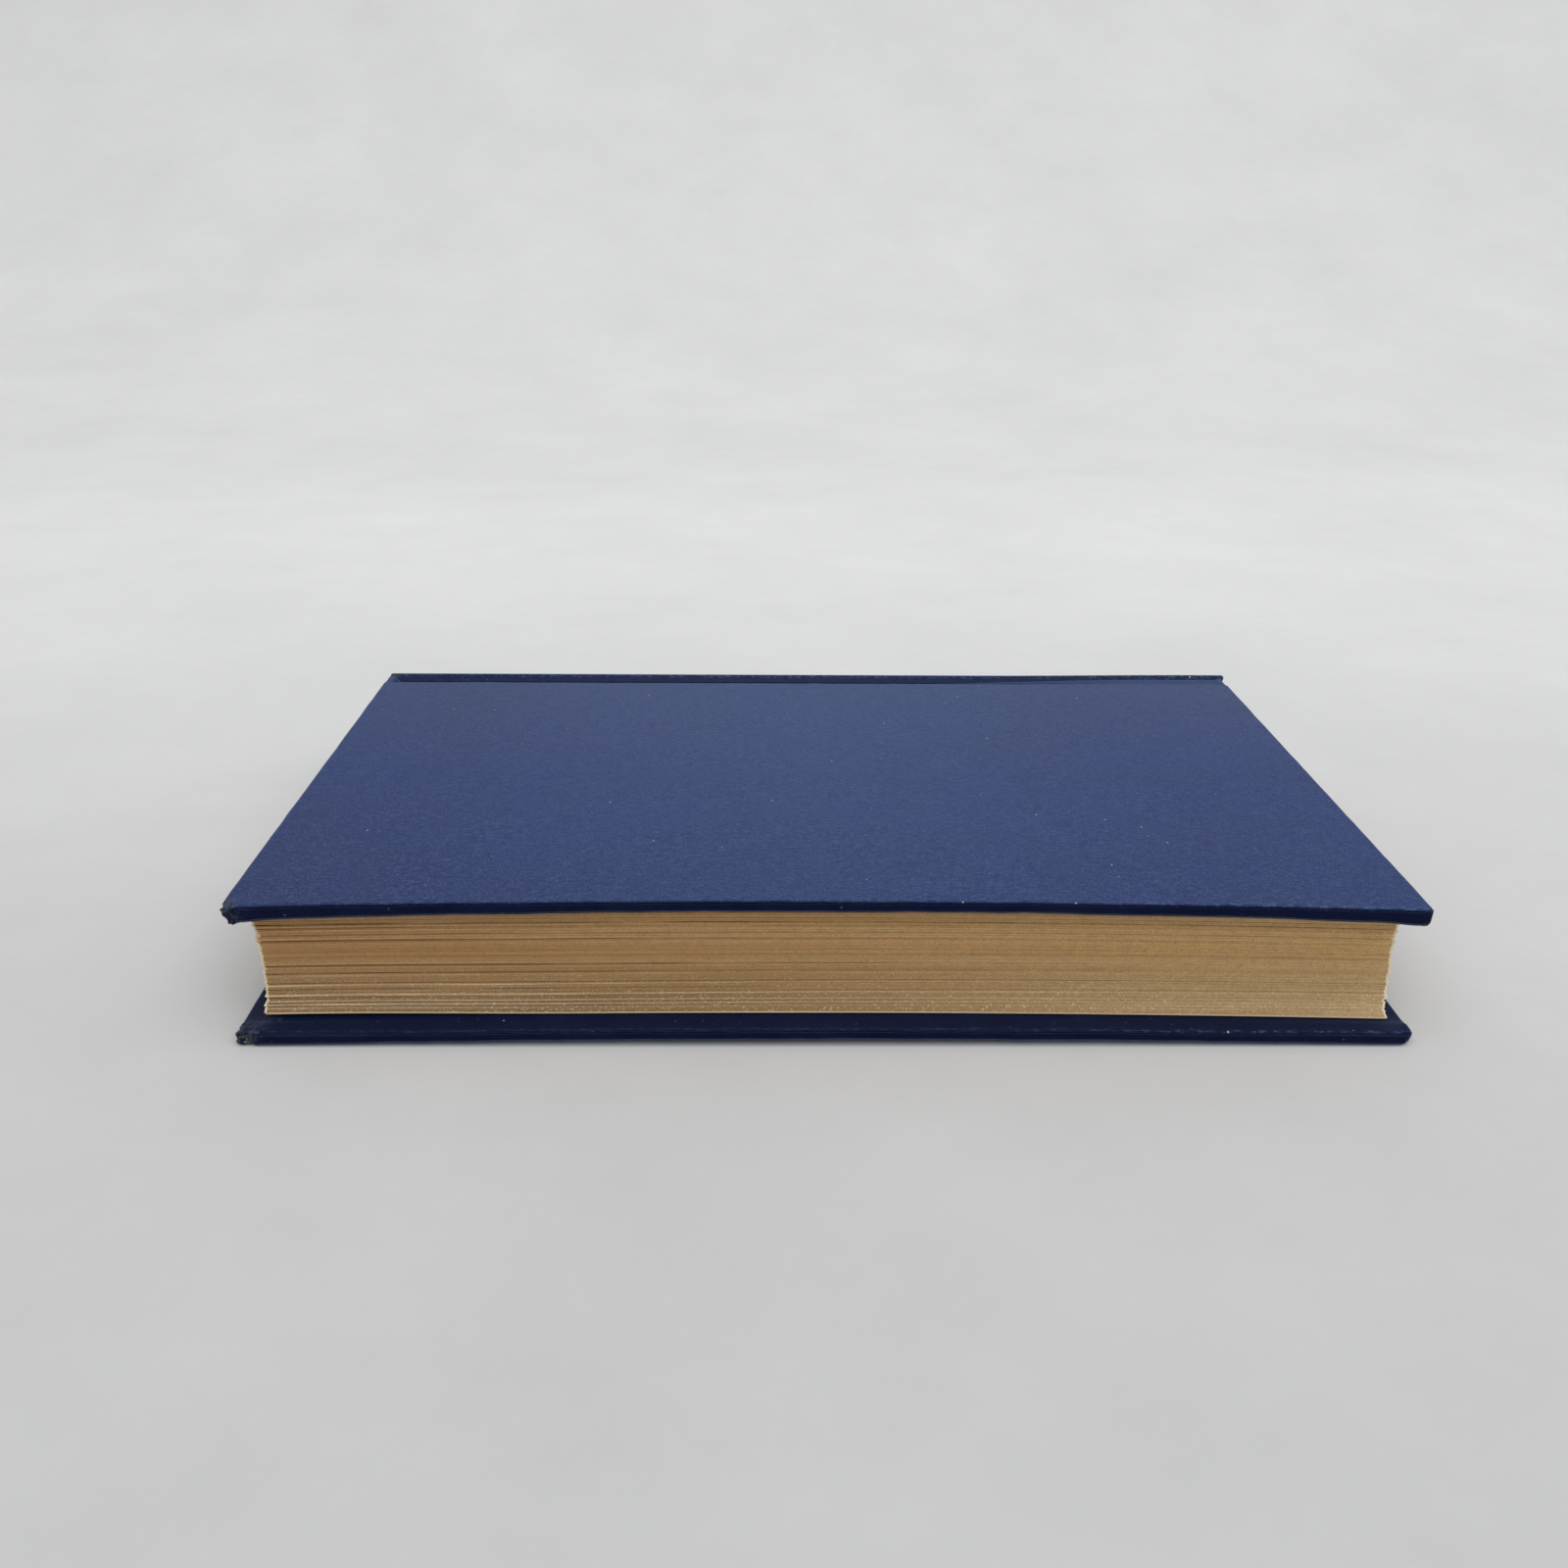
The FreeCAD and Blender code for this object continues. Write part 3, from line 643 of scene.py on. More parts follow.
def make_board(side):
    """A closed board: the two faces and the wall, which here also runs along the spine side."""
    low = Vector((board_low.x, board_low.y, board_low.z + cloth_thick))
    board_arris = 0.45 * mm
    inner_tail = tail_round[side] - cloth_thick
    inner_head = head_round[side] - cloth_thick
    outer, inner, wall = board_patches(low, board_high, inner_tail, inner_head, board_arris, False)
    back_row = outer[-1, ::-1]
    back_wall = np.repeat(back_row[None], wall.shape[0], axis=0)
    back_wall[..., 2] = wall[:, :1, 2]
    patches = [(outer, False, None), (inner, True, None), (wall, False, None), (back_wall, False, None)]
    piece = join_patches(f"{side}_grey_board", patches, grey_board)
    points = read_points(piece)
    wear = corner_wear(points, side)
    outward = points[:, :2] - (-half_tall + 6 * mm, fore_y + 6 * mm)
    outward /= np.linalg.norm(outward, axis=1, keepdims=True) + 1e-9
    layers = 0.10 * mm * ripple(points * (1, 1, 4), 0.9 * mm, 31) + 0.18 * mm
    points[:, :2] += outward * (wear * layers)[:, None]
    write_points(piece, bowed(crushed(turned_over(points, side), side)))
    if side == "back":
        piece.data.flip_normals()
    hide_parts(f"{side}_board")
    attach(piece, f"{side}_cover")


for side in ("front", "back"):
    make_board(side)


# The spine's cloth: one strip stretched over a card between the two shoulders. It turns in round the
# card at head and tail, and at each crease it meets the cloth of a cover.
shoulder_half = book_thick / 2 - shoulder_drop
spine_bulge = 6.0 * mm
spine_radius = (shoulder_half ** 2 + spine_bulge ** 2) / (2 * spine_bulge)
spine_centre = Vector((0, cad_box[1].y - spine_radius, book_thick / 2))
shoulder_angle = math.asin(shoulder_half / spine_radius)
spine_depth = 1.3 * mm


def make_spine_cloth():
    """A section carried along the spine and turned in at both ends.

    The section is the arc between the shoulders, a small round at each crest, and the flank down to the
    crease. Along the spine, each of its points goes round the end on a half circle of half the depth.
    """
    arc = np.linspace(-shoulder_angle, shoulder_angle, 41)
    arc_y = spine_centre.y + spine_radius * np.cos(arc)
    arc_z = spine_centre.z + spine_radius * np.sin(arc)
    foot = np.array([crease_y - 0.05 * mm, groove_level])
    crest = np.array([arc_y[-1], arc_z[-1]])
    edge = np.array([arc_y[-1] - 0.35 * mm, arc_z[-1] + 0.05 * mm])
    share = np.linspace(0, 1, 9)[:, None]
    flank = (1 - share) ** 2 * foot + 2 * share * (1 - share) * (foot * 0.45 + edge * 0.55 + (0.25 * mm, -0.1 * mm)) + share ** 2 * edge
    round_share = np.linspace(0, 1, 5)[1:-1, None]
    corner = np.array([crest[0] - 0.12 * mm, crest[1] + 0.14 * mm])
    crest_round = (1 - round_share) ** 2 * edge + 2 * round_share * (1 - round_share) * corner + round_share ** 2 * crest
    front_y = np.concatenate([flank[:, 0], crest_round[:, 0]])
    front_z = np.concatenate([flank[:, 1], crest_round[:, 1]])
    section_y = np.concatenate([front_y, arc_y[::-1], front_y[::-1]])
    section_z = np.concatenate([front_z, arc_z[::-1], book_thick - front_z[::-1]])
    toward_y = spine_centre.y - section_y
    toward_z = spine_centre.z - section_z
    length = np.hypot(toward_y, toward_z)
    on_flank = np.concatenate([np.ones(len(front_y)), np.zeros(len(arc_y)), np.ones(len(front_y))]) > 0
    turned_length = np.where(on_flank, 2.6 * mm, 12 * mm)
    depth = np.where(on_flank, 0.35 * mm, spine_depth / 2)
    crest_near = np.exp(-((np.abs(section_z - spine_centre.z) - shoulder_half) / (1.1 * mm)) ** 2)
    straight = half_tall - depth
    along = np.concatenate([np.linspace(0, 1, 20)[:-1], np.ones(12)])[:, None]
    turn = np.concatenate([np.zeros(19), np.linspace(0, math.pi, 9), np.full(3, math.pi)])[:, None]
    back = np.concatenate([np.zeros(28), [0.3, 0.65, 1.0]])[:, None]
    x = straight * along + depth * np.sin(turn) - turned_length * back
    inward = depth * (1 - np.cos(turn))
    y = section_y + toward_y / length * inward
    z = section_z + toward_z / length * inward
    half = np.stack([x, y, z], axis=-1)
    tail_half = half[:0:-1] * (-1, 1, 1)
    tail_half[..., 0] += 0.2 * mm * crest_near * along[:0:-1]
    half[..., 0] += 0.8 * mm * crest_near * along
    half[..., 2] += 0.36 * mm * crest_near * (section_z > spine_centre.z) * smooth_step(45 * mm, 100 * mm, x)
    whole = np.concatenate([tail_half, half])
    piece = join_patches("spine_case_cloth", [(whole, False, None)], book_cloth)
    thicken(piece, 0.28 * mm)
    points = read_points(piece)
    away = np.hypot(points[:, 1] - spine_centre.y, points[:, 2] - spine_centre.z)
    at_end = smooth_step(half_tall - 1.2 * mm, half_tall - 0.3 * mm, np.abs(points[:, 0]))
    at_crest = smooth_step(shoulder_half - 0.9 * mm, shoulder_half, np.abs(points[:, 2] - spine_centre.z))
    write_mask(piece, "rub_and_highlight", np.maximum(at_end, 0.6 * at_crest) * (away > spine_radius - 0.8 * mm))
    # Painted shade: this mask is 1 on the spine's outer arc and 0.27 on its flanks, which the cloth paints darker.
    outside = smooth_step(spine_radius - 0.3 * mm, spine_radius - 0.1 * mm, away)
    on_arc = smooth_step(crest[0] - 0.5 * mm, crest[0] - 0.1 * mm, points[:, 1])
    write_mask(piece, "unshaded", np.maximum(outside * on_arc, 0.27 * (points[:, 1] < crest[0] - 0.3 * mm)))
    tail_corner = np.linalg.norm(points - (-half_tall, crest[0], crest[1]), axis=1)
    write_mask(piece, "fray", 1 - smooth_step(0.7 * mm, 1.6 * mm, tail_corner))
    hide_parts("spine_cloth")
    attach(piece, "text_block")


make_spine_cloth()


# The pages: some three hundred leaves, their edges browned and dusty. The sections stand a little apart
# at the fore edge, single leaves stick out or sit back, and the fore edge is hollow, more so at the tail.
page_low, page_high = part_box("page_block")
page_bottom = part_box("back_flyleaf")[0].z + 0.4 * mm
page_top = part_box("front_flyleaf")[0].z
page_half = page_high.x + 0.5 * mm
leaf_count = 150


def page_material():
    """Leaf edges: fine streaks along each edge, a brighter brown above as painted light against the front cover's
    shadow, greyer below, with dust on the lower half.
    """
    material, tree, shader = surface_material("page_edges")
    leaf_tone_and_light = add_node(tree, "ShaderNodeAttribute", attribute_name="leaf_tone_and_light").outputs["Fac"]
    streaks = stretched_noise(tree, (18, 60, 7000), 4.0, 0.65)
    broad = stretched_noise(tree, (9, 9, 260), 3.0, 0.6)
    place = add_node(tree, "ShaderNodeTexCoord").outputs["Object"]
    height = add_node(tree, "ShaderNodeSeparateXYZ", {"Vector": place})
    # Painted light: the upper part of the fore edge, under the front cover's overhang, gets a brighter and warmer
    # brown than the greyer lower part, to make up for the cover's shadow. Both are lighter towards the head.
    low = remap(tree, height.outputs["Z"], page_top * 0.72, page_bottom, 0.0, 1.0)
    headward = remap(tree, height.outputs["X"], -half_tall, half_tall)
    brown = mix_colour(tree, headward, (0.52, 0.262, 0.092, 1), (0.76, 0.480, 0.195, 1))
    right_end = remap(tree, height.outputs["X"], -0.2 * half_tall, half_tall)
    grey = mix_colour(tree, right_end, (0.198, 0.121, 0.055, 1), (0.49, 0.355, 0.190, 1))
    colour = mix_colour(tree, low, brown, grey)
    colour = mix_colour(tree, remap(tree, streaks, 0.38, 0.66, 0.0, 0.28), colour, (0.25, 0.15, 0.07, 1))
    colour = mix_colour(tree, remap(tree, broad, 0.40, 0.75, 0.0, 0.30), colour, (0.66, 0.46, 0.25, 1))
    mottle = stretched_noise(tree, (420, 420, 900), 4.0, 0.7)
    colour = mix_colour(tree, remap(tree, mottle, 0.42, 0.70, 0.0, 0.30), colour, (0.30, 0.19, 0.09, 1))
    # Painted shade and highlight: the leaf value paints the gaps between sections dark, as the shade in them, and the
    # proud leaves light, as a painted highlight, with a little random tone besides.
    colour = mix_colour(tree, remap(tree, leaf_tone_and_light, 0.0, 0.5, 0.80, 0.0), colour, (0.13, 0.065, 0.025, 1))
    colour = mix_colour(tree, remap(tree, leaf_tone_and_light, 0.5, 1.0, 0.0, 0.75), colour, (0.84, 0.66, 0.42, 1))
    flecks = remap(tree, stretched_noise(tree, (2300, 2300, 3400), 3.0, 0.6), 0.585, 0.66)
    lying = remap(tree, height.outputs["Z"], page_top * 0.62, page_bottom, 0.0, 0.75)
    colour = mix_colour(tree, math_node(tree, "MULTIPLY", flecks, lying), colour, (0.78, 0.68, 0.50, 1))
    pits = remap(tree, stretched_noise(tree, (2100, 2100, 3000), 3.0, 0.6), 0.40, 0.33)
    colour = mix_colour(tree, math_node(tree, "MULTIPLY", pits, 0.45), colour, (0.16, 0.09, 0.04, 1))
    grain = remap(tree, stretched_noise(tree, (2700, 2700, 3800), 2.0, 0.6), 0.40, 0.62, 0.0, 0.30)
    colour = mix_colour(tree, grain, colour, (0.24, 0.15, 0.07, 1))
    tip = add_node(tree, "ShaderNodeAttribute", attribute_name="tip").outputs["Fac"]
    colour = mix_colour(tree, remap(tree, tip, 0.60, 0.85, 0.0, 0.85), colour, (0.90, 0.78, 0.56, 1))
    tree.links.new(colour, shader.inputs["Base Color"])
    shader.inputs["Roughness"].default_value = 0.9
    shader.inputs["Specular IOR Level"].default_value = 0.2
    bump = add_node(tree, "ShaderNodeBump", {"Height": streaks, "Strength": 0.4, "Distance": 0.0001})
    tree.links.new(bump.outputs["Normal"], shader.inputs["Normal"])
    return material


def fore_hollow(x, share):
    """Depth of the fore edge behind the covers' edge at a place along it and a share of its height.

    A straight line between the first and last leaf, plus a hollow of 4 s (1 - s), where s is the share
    raised to a power that puts the deepest leaf below the middle.
    """
    head = (1 + x / half_tall) / 2
    straight = 6.05 - head * 0.5 + share * (0.35 - head * 0.2)
    skewed = share ** (0.8 - 0.285 * head)
    return (straight + (1.7 + 1.8 * head) * 4 * skewed * (1 - skewed)) * mm


def tail_gap(points):
    """Lift the lowest leaves off the drooping back cover: 0.6 mm at the tail, fading along and up."""
    at_tail = smooth_step(45 * mm, 100 * mm, -points[..., 0])
    low = 1 - np.clip((points[..., 2] - page_bottom) / (page_top - page_bottom), 0, 1)
    near_fore = 1 - smooth_step(20 * mm, 90 * mm, points[..., 1] - fore_y)
    lifted = points.copy()
    lifted[..., 2] += 0.6 * mm * at_tail * low * near_fore
    return lifted


def make_page_block():
    """The leaves' edges as a stack of thin steps.

    Each leaf has two rows of points round the block, at its lower and upper face, with one offset from
    the block's outline: a random one for the leaf, a slow wave along it, and a deep one at the gaps
    between sections. Towards the spine the leaves fan out over the shoulders.
    """
    draw = np.random.default_rng(5)
    thickness = draw.uniform(0.6, 1.4, leaf_count)
    bounds = np.concatenate([[0], np.cumsum(thickness)]) / thickness.sum()
    middle = (bounds[:-1] + bounds[1:]) / 2
    lines = np.array([
        (0.213, -0.75, -0.36), (0.230, 0.55, 0.00), (0.250, -0.35, -0.12), (0.274, 0.55, 0.50),
        (0.318, -0.30, -0.15), (0.351, 0.65, 0.60), (0.371, -0.80, -0.15), (0.457, 0.00, 0.30),
        (0.480, -0.15, -0.10), (0.590, 0.45, 0.15), (0.611, -1.00, -0.05), (0.656, 0.00, -0.08),
        (0.682, -0.65, 0.00), (0.700, 0.55, 0.15), (0.767, -0.50, 0.00), (0.786, 1.00, 0.00),
        (0.824, -0.75, 0.00), (0.868, 0.90, 0.30), (0.890, -0.45, 0.00), (0.915, 0.60, 0.00),
        (0.931, -0.50, 0.00), (0.947, 1.00, 0.15), (0.960, -0.60, 0.00), (0.971, 0.55, 0.00),
    ])
    near_line = np.exp(-((middle[:, None] - 1 + lines[:, 0]) * 22.2 / np.where(lines[:, 1] > 0, 0.15, 0.13)) ** 2)
    stray = draw.normal(0, 0.035, leaf_count)

    half = page_half
    ahead = np.sin(np.linspace(-1, 1, 90) * math.pi / 2) * 0.5 + np.linspace(-1, 1, 90) * 0.5
    rows = np.repeat(np.arange(leaf_count), 2)
    share = np.stack([bounds[:-1], bounds[1:]], axis=1).ravel()
    level = page_bottom + (page_top - page_bottom) * share
    half_page = (page_top - page_bottom) / 2
    shoulder = (page_high.z - page_low.z) / 2 / half_page - 1
    spread = level + (level - spine_centre.z) * shoulder
    spine_page_radius = page_high.y - spine_centre.y
    spine_y = spine_centre.y + np.sqrt(spine_page_radius ** 2 - (spread - spine_centre.z) ** 2)

    front_x = np.broadcast_to(ahead * half, (len(rows), len(ahead)))
    front_y = fore_y + fore_hollow(front_x, share[:, None])
    tail_fore = front_y[:, :1]
    head_fore = front_y[:, -1:]
    inward = np.concatenate([np.linspace(0, 0.96, 25), [0.98, 0.99, 0.995, 0.9975, 1.0]])
    tail_y = tail_fore + (spine_y[:, None] - tail_fore) * inward[:0:-1]
    head_y = head_fore + (spine_y[:, None] - head_fore) * inward[1:]
    back_y = np.broadcast_to(spine_y[:, None], (len(rows), len(ahead) - 2))
    y = np.concatenate([tail_y, front_y, head_y, back_y], axis=1)
    x = np.concatenate([np.full_like(tail_y, -half), front_x, np.full_like(head_y, half), front_x[:, -2:0:-1]], axis=1)

    def fanned(y, level, spread):
        """Height of a leaf: its own up to the crease, and behind it the height that it has in the shoulder."""
        return level + (spread - level) * smooth_step(crease_y - 0.3 * mm, crease_y + 0.9 * mm, y)

    z = fanned(y, level[:, None], spread[:, None])
    middle_x = np.concatenate([np.full(tail_y.shape[1], -1.0), ahead, np.full(head_y.shape[1], 1.0), ahead[-2:0:-1]])
    head = (1 + middle_x) / 2
    wander = ripple(np.stack([x[::2], y[::2] * 2, z[::2] * 60], axis=-1), 60 * mm, 41)
    broken = np.clip(0.85 + 0.35 * ripple(np.stack([x[::2], y[::2], z[::2] * 40], axis=-1), 14 * mm, 43), 0.2, 1.2)
    strength = lines[:, 1, None] * (1 - head) ** 1.7 + lines[:, 2, None] * head ** 1.2
    marked = near_line @ strength * broken
    opened = np.clip(-marked, 0, 1) * 0.8
    proud = np.clip(marked, 0, 1) * 0.16
    offset = np.repeat((stray[:, None] + 0.03 * wander + opened - proud) * mm, 2, axis=0)
    column = np.arange(x.shape[1])
    first_fore = tail_y.shape[1]
    on_front = (column >= first_fore) & (column < first_fore + len(ahead))
    y = y + np.where(on_front, offset, 0)
    sections = np.repeat(draw.normal(0, 0.12, (15, 2)), leaf_count // 15, axis=0)
    worn = sections + draw.normal(0, 0.12, (leaf_count, 2)) + 0.30 * (draw.random((leaf_count, 2)) < 0.10)
    frayed = np.repeat(worn, 2, axis=0) + np.abs(draw.normal(0, 0.06, (2 * leaf_count, 2)))
    side = np.where(middle_x < 0, frayed[:, :1], frayed[:, 1:]) * mm
    x = x - np.sign(x) * np.where(np.abs(middle_x) >= 0.999, side, 0) 
    tail_shift = 0.58 - 0.76 * smooth_step(0.35, 1.0, share) - 0.50 * smooth_step(0.65, 0.90, share)
    tail_shift += 0.30 * np.exp(-((share - 0.13) / 0.08) ** 2)
    head_shift = 0.2 + 0.75 * np.exp(-((share - 0.28) / 0.2) ** 2)
    x = x + np.where(middle_x < 0, tail_shift[:, None], head_shift[:, None]) * np.abs(middle_x) ** 8 * mm
    ring = np.stack([x, y, z], axis=-1)
    spine_columns = np.concatenate([[0], np.arange(x.shape[1] - 1, first_fore + len(ahead) + len(inward) - 3, -1)])
    outlines = ring[[0, -1]]
    fore_row = outlines[:, on_front]
    caps = fore_row[:, None] + (outlines[:, spine_columns] - fore_row)[:, None] * inward[None, :, None, None]
    caps[..., 2] = fanned(caps[..., 1], level[[0, -1], None, None], spread[[0, -1], None, None])
    points = np.concatenate([ring.reshape(-1, 3), caps.reshape(-1, 3)])
    # Each leaf's value: a little random tone, less at the gaps between sections, which paints their shade, and more on
    # proud leaves, which paints a highlight.
    leaf_tone_and_light = 0.5 + draw.normal(0, 0.05, leaf_count)[:, None] + 0.5 * marked
    faces = np.concatenate([
        grid_faces(*x.shape, closed=True),
        grid_faces(*caps.shape[1:3], x.size),
        grid_faces(*caps.shape[1:3], x.size + caps[0, ..., 0].size)[:, ::-1],
    ])
    piece = new_piece("page_leaves", bowed(tail_gap(points)), faces, page_material(), smooth=False)
    write_mask(piece, "leaf_tone_and_light", np.append(np.repeat(leaf_tone_and_light, 2, axis=0).ravel(), np.full(caps[..., 0].size, 0.5)))
    corner = np.isin(column, (first_fore, first_fore + len(ahead) - 1)) * np.ones((len(rows), 1))
    write_mask(piece, "tip", np.append(corner.ravel(), np.zeros(caps[..., 0].size)))
    shape = bmesh.new()
    shape.from_mesh(piece.data)
    bmesh.ops.remove_doubles(shape, verts=shape.verts, dist=2e-7)
    bmesh.ops.recalc_face_normals(shape, faces=shape.faces)
    shape.to_mesh(piece.data)
    shape.free()
    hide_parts("page_block")
    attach(piece, "text_block")


make_page_block()


# The endpapers: at each end one folded sheet of stiffer paper, half glued inside the cover as the
# pastedown and half free as the flyleaf. They have browned towards their edges.
def paper_material():
    """Endpaper: warm off-white, browner near its edges, with a few foxing spots and a soft tooth."""
    material, tree, shader = surface_material("endpaper")
    clouds = stretched_noise(tree, (24, 24, 24), 4.0, 0.6)
    tooth = stretched_noise(tree, (2600, 2600, 2600), 2.0, 0.6)
    edge = add_node(tree, "ShaderNodeAttribute", attribute_name="edge").outputs["Fac"]
    colour = mix_colour(tree, remap(tree, clouds, 0.3, 0.7), (0.66, 0.55, 0.37, 1), (0.72, 0.61, 0.43, 1))
    colour = mix_colour(tree, math_node(tree, "MULTIPLY", edge, 0.85), colour, (0.50, 0.37, 0.22, 1))
    spot = add_node(tree, "ShaderNodeGroup", {"Cells": 120.0, "Radius": 0.07, "Share": 0.22}, node_tree=specks)
    colour = mix_colour(tree, math_node(tree, "MULTIPLY", spot.outputs["Mask"], 0.35), colour, (0.40, 0.24, 0.11, 1))
    tree.links.new(colour, shader.inputs["Base Color"])
    shader.inputs["Roughness"].default_value = 0.85
    shader.inputs["Specular IOR Level"].default_value = 0.25
    bump = add_node(tree, "ShaderNodeBump", {"Height": tooth, "Strength": 0.15, "Distance": 0.00005})
    tree.links.new(bump.outputs["Normal"], shader.inputs["Normal"])
    return material


endpaper = paper_material()
paper_thick = 0.2 * mm


def make_sheet(name, side, edge_x, edge_y, rows_y, level):
    """A sheet as a grid, thickened inwards.

    Its first six rows go in even steps from its fore edge, which may be curved, to the first straight
    row, and the rest are straight across the book. The edge mask is 1 at its border.
    """
    step = np.linspace(0, 1, 7)[:-1, None]
    curved = edge_y + (rows_y[0] - edge_y) * step
    y = np.concatenate([curved, np.repeat(rows_y[:, None], len(edge_x), axis=1)])
    x = np.broadcast_to(edge_x, y.shape)
    points = np.stack([x, y, level(x, y)], axis=-1)
    piece = new_piece(name, turned_over(points.reshape(-1, 3), side), grid_faces(*x.shape), endpaper)
    border = np.minimum(np.minimum(x - edge_x[0], edge_x[-1] - x), y - edge_y).ravel()
    mask = 1 - smooth_step(0, 14 * mm, border + 3 * mm * ripple(points.reshape(-1, 3), 40 * mm, 51))
    write_mask(piece, "edge", mask)
    if side == "back":
        piece.data.flip_normals()
    thicken(piece, paper_thick)
    points = read_points(piece)
    if name.endswith("free") and side == "back":
        points = tail_gap(points)
    write_points(piece, bowed(points))
    return piece


def paste_level(x, y):
    """The pastedown's glued face: on the turn-ins and the joint's cloth, and sunk by their thickness to
    the bare board between them."""
    inside = np.minimum(half_tall - turn_in - np.abs(x), y - fore_y - turn_in)
    inside = np.minimum(inside, board_end_y - 0.4 * mm - y)
    return board_low.z + 0.2 * mm * smooth_step(0, 1.5 * mm, inside)


def free_level(x, y):
    """The flyleaf's upper face lies one thickness above the first leaf."""
    return np.full(x.shape, page_top + paper_thick)


paste_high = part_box("front_pastedown")[1]
fold_y = hinge_y - 0.08 * mm
fold_half = 0.01 * mm
sheet_rows = np.concatenate([
    np.linspace(fore_y + 18 * mm, board_end_y - 3 * mm, 34),
    board_end_y + np.array([-2.2, -1.7, -1.2, -0.8, -0.4, 0.4, 1.6, 2.8, 4.0, 5.0]) * mm,
    [fold_y - fold_half, fold_y + fold_half, crease_y - 0.15 * mm],
])
for side in ("front", "back"):
    edge_x = np.linspace(-page_half + (0.8 * mm if side == "back" else 0), page_half, 61)
    leaf_edge = fore_y + fore_hollow(edge_x, 1.0 if side == "front" else 0.0) - 0.25 * mm
    paste_edge = leaf_edge + (1.8 * mm if side == "back" else 0)
    paste_x = np.linspace(-paste_high.x, paste_high.x, 61)
    pastedown = make_sheet(f"{side}_endpaper_down", side, paste_x, paste_edge, sheet_rows, paste_level)
    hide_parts(f"{side}_pastedown")
    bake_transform(pastedown)
    flyleaf = make_sheet(f"{side}_endpaper_free", side, edge_x, leaf_edge, sheet_rows, free_level)
    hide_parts(f"{side}_flyleaf")
    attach(flyleaf, "text_block")


# The spine's hidden layers keep their solids: gauze, lining paper and card. Each gets its own finish,
# because they show a little at the head and tail.
def plain_fibre(name, pale, dark, scale, roughness):
    """A fibrous sheet: two tones mixed by stretched noise, with a fine bump."""
    material, tree, shader = surface_material(name)
    fibres = stretched_noise(tree, scale, 3.0, 0.6)
    colour = mix_colour(tree, remap(tree, fibres, 0.35, 0.65), dark, pale)
    tree.links.new(colour, shader.inputs["Base Color"])
    shader.inputs["Roughness"].default_value = roughness
    bump = add_node(tree, "ShaderNodeBump", {"Height": fibres, "Strength": 0.3, "Distance": 0.0001})
    tree.links.new(bump.outputs["Normal"], shader.inputs["Normal"])
    return material


spine_finishes = {
    "mull": plain_fibre("gauze", (0.70, 0.66, 0.52, 1), (0.42, 0.38, 0.28, 1), (1500, 1500, 1500), 0.95),
    "spine_lining": plain_fibre("lining_paper", (0.42, 0.31, 0.19, 1), (0.34, 0.24, 0.14, 1), (400, 900, 900), 0.9),
    "spine_inlay": plain_fibre("spine_card", (0.46, 0.39, 0.28, 1), (0.36, 0.30, 0.21, 1), (700, 900, 900), 0.9),
}
for node_name, material in spine_finishes.items():
    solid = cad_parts[node_name]
    solid.data.materials.clear()
    solid.data.materials.append(material)


# The headbands: a cord wound with thread of two plain colours, glued over the ends of the spine.
def band_material():
    """Wound thread: cream and dark blue turns in turn, read from the distance along the band."""
    material, tree, shader = surface_material("headband_thread")
    turn = add_node(tree, "ShaderNodeAttribute", attribute_name="turn").outputs["Fac"]
    stripe = math_node(tree, "GREATER_THAN", turn, 0.5)
    colour = mix_colour(tree, stripe, (0.58, 0.50, 0.34, 1), (0.05, 0.07, 0.16, 1))
    tree.links.new(colour, shader.inputs["Base Color"])
    shader.inputs["Roughness"].default_value = 0.6
    fine = stretched_noise(tree, (3000, 3000, 3000), 2.0, 0.6)
    bump = add_node(tree, "ShaderNodeBump", {"Height": fine, "Strength": 0.3, "Distance": 0.00005})
    tree.links.new(bump.outputs["Normal"], shader.inputs["Normal"])
    return material


headband_thread = band_material()
bead_radius = 0.8 * mm


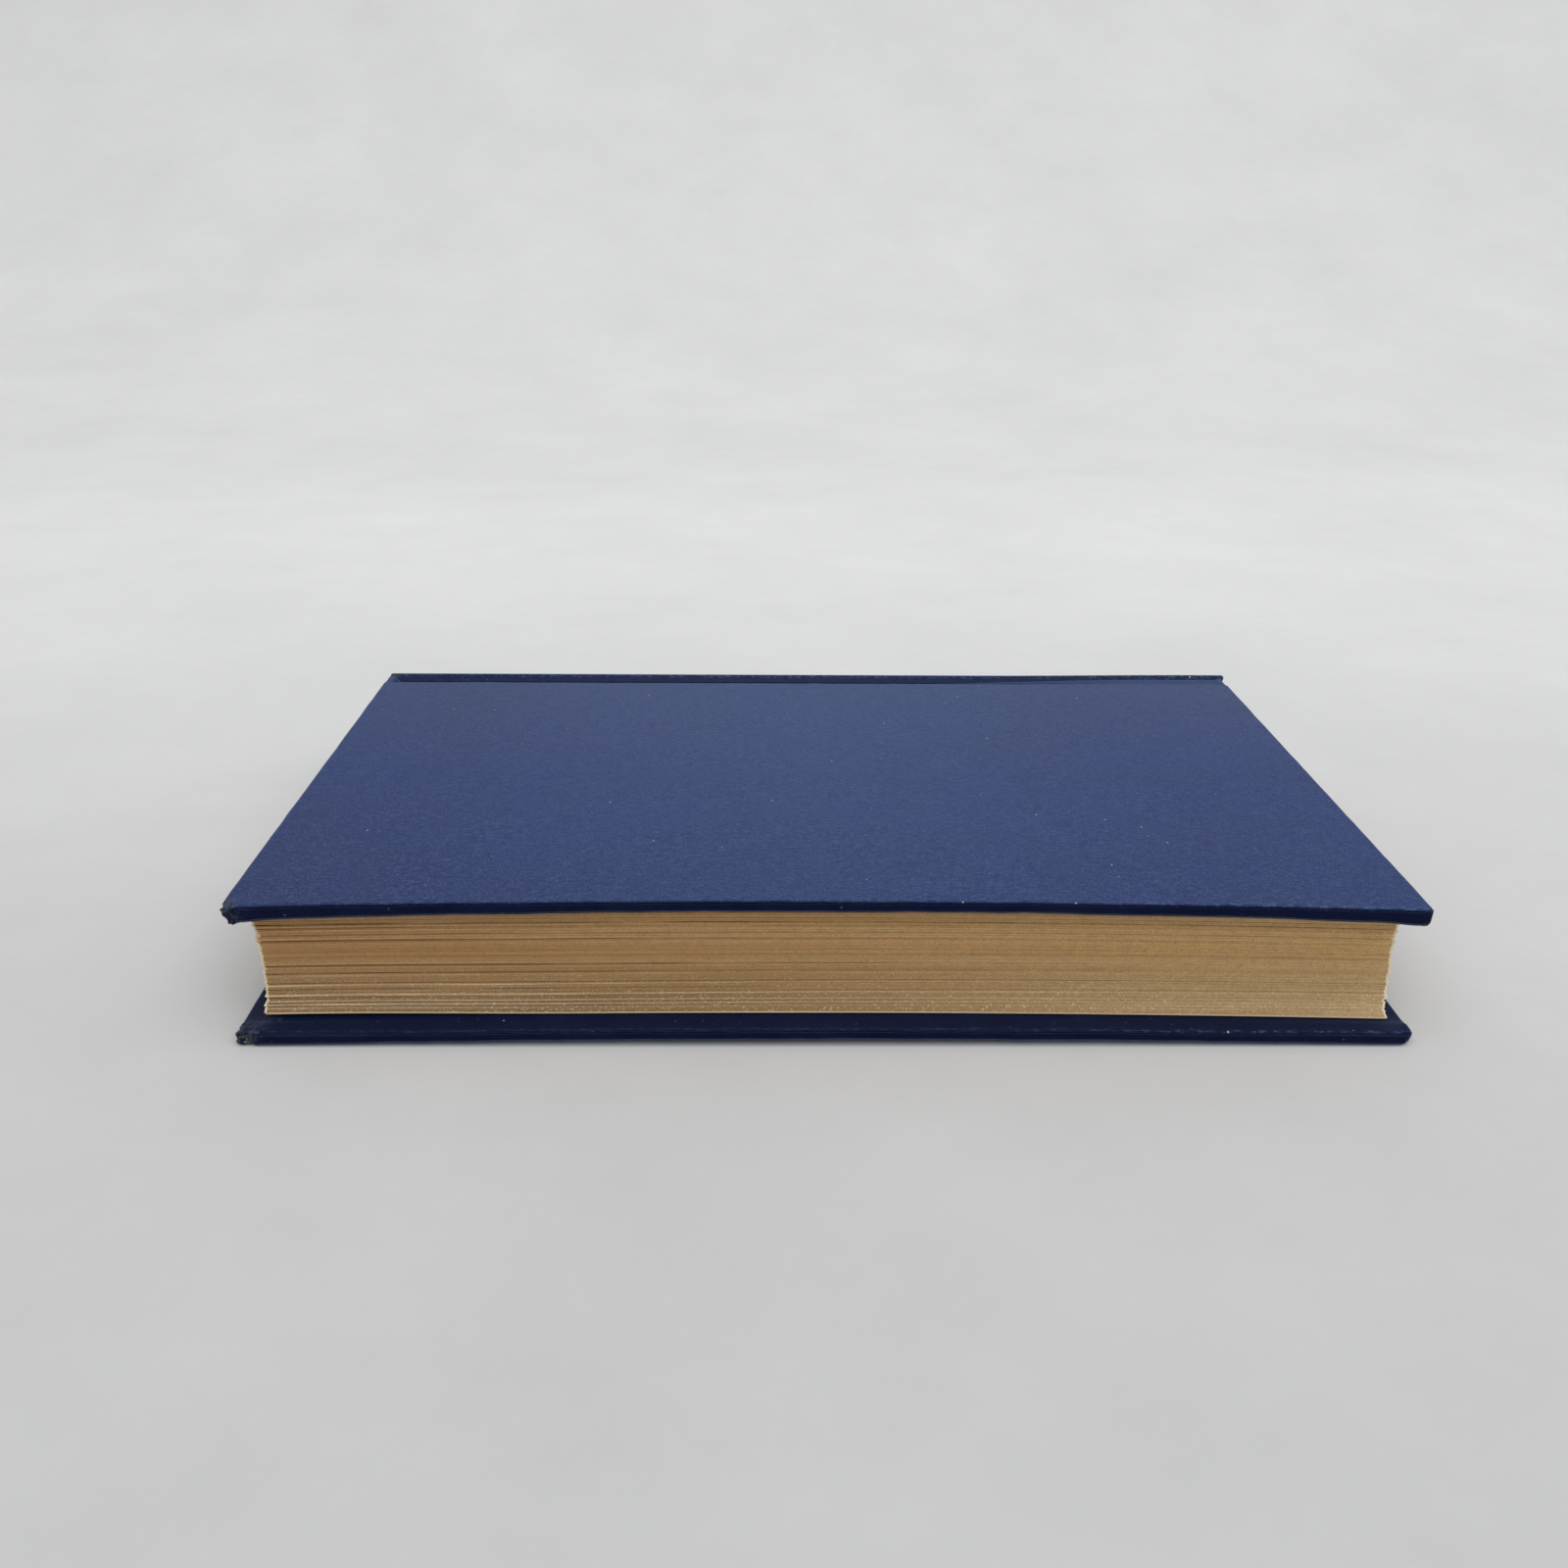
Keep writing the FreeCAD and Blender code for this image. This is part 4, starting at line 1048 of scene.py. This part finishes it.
def make_band(end, node_name):
    """A bead carried round the spine's arc on its tape.

    The section is a circle whose radius swells and shrinks once for each turn of thread, and its centre
    runs on an arc that is smaller than the spine's by the layers over it and the bead's own radius.
    """
    lining_radius = spine_radius - 1.3 * mm
    turns = 46
    arc = np.linspace(-shoulder_angle, shoulder_angle, turns * 6 + 1)
    around = np.linspace(0, 2 * math.pi, 17)[:-1]
    winding = np.linspace(0, turns, len(arc))
    swell = 1 + 0.09 * np.abs(np.sin(winding * math.pi))
    taper = np.sqrt(np.clip(1 - (np.abs(np.linspace(-1, 1, len(arc))) ** 40), 0.02, 1))
    radius = (bead_radius * 0.9 * swell * taper)[:, None]
    centre = lining_radius - bead_radius
    x = page_high.x + bead_radius * 1.0 + radius * np.cos(around)
    out = centre + radius * np.sin(around)
    y = spine_centre.y + out * np.cos(arc)[:, None]
    z = spine_centre.z + out * np.sin(arc)[:, None]
    points = np.stack([x * end, y, z], axis=-1)
    faces = [list(face) for face in grid_faces(len(arc), len(around), closed=True)]
    faces.append(list(range(len(around)))[::-1])
    faces.append(list(range(points.shape[0] * 16 - 16, points.shape[0] * 16)))
    bead = new_piece(f"{node_name}_bead", points, faces, headband_thread)
    write_mask(bead, "turn", np.repeat((winding % 4 > 2).astype(float), len(around)))
    tape_arc = np.linspace(-shoulder_angle, shoulder_angle, 41)[:, None]
    tape_x = page_high.x + np.array([-6.0, 1.0, 1.0, -6.0]) * mm
    tape_out = lining_radius - np.array([0.02, 0.02, 0.5, 0.5]) * mm
    tape_points = np.stack(np.broadcast_arrays(
        tape_x[None, :] * end,
        spine_centre.y + tape_out[None, :] * np.cos(tape_arc),
        spine_centre.z + tape_out[None, :] * np.sin(tape_arc)), axis=-1)
    tape_faces = [list(face) for face in grid_faces(41, 4, closed=True)]
    tape_faces.append([0, 1, 2, 3])
    tape_faces.append([163, 162, 161, 160])
    tape = new_piece(f"{node_name}_tape", tape_points, tape_faces, spine_finishes["mull"])
    for piece in (bead, tape):
        shape = bmesh.new()
        shape.from_mesh(piece.data)
        bmesh.ops.recalc_face_normals(shape, faces=shape.faces)
        shape.to_mesh(piece.data)
        shape.free()
        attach(piece, "text_block")
    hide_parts(node_name)


make_band(1, "head_band")
make_band(-1, "tail_band")
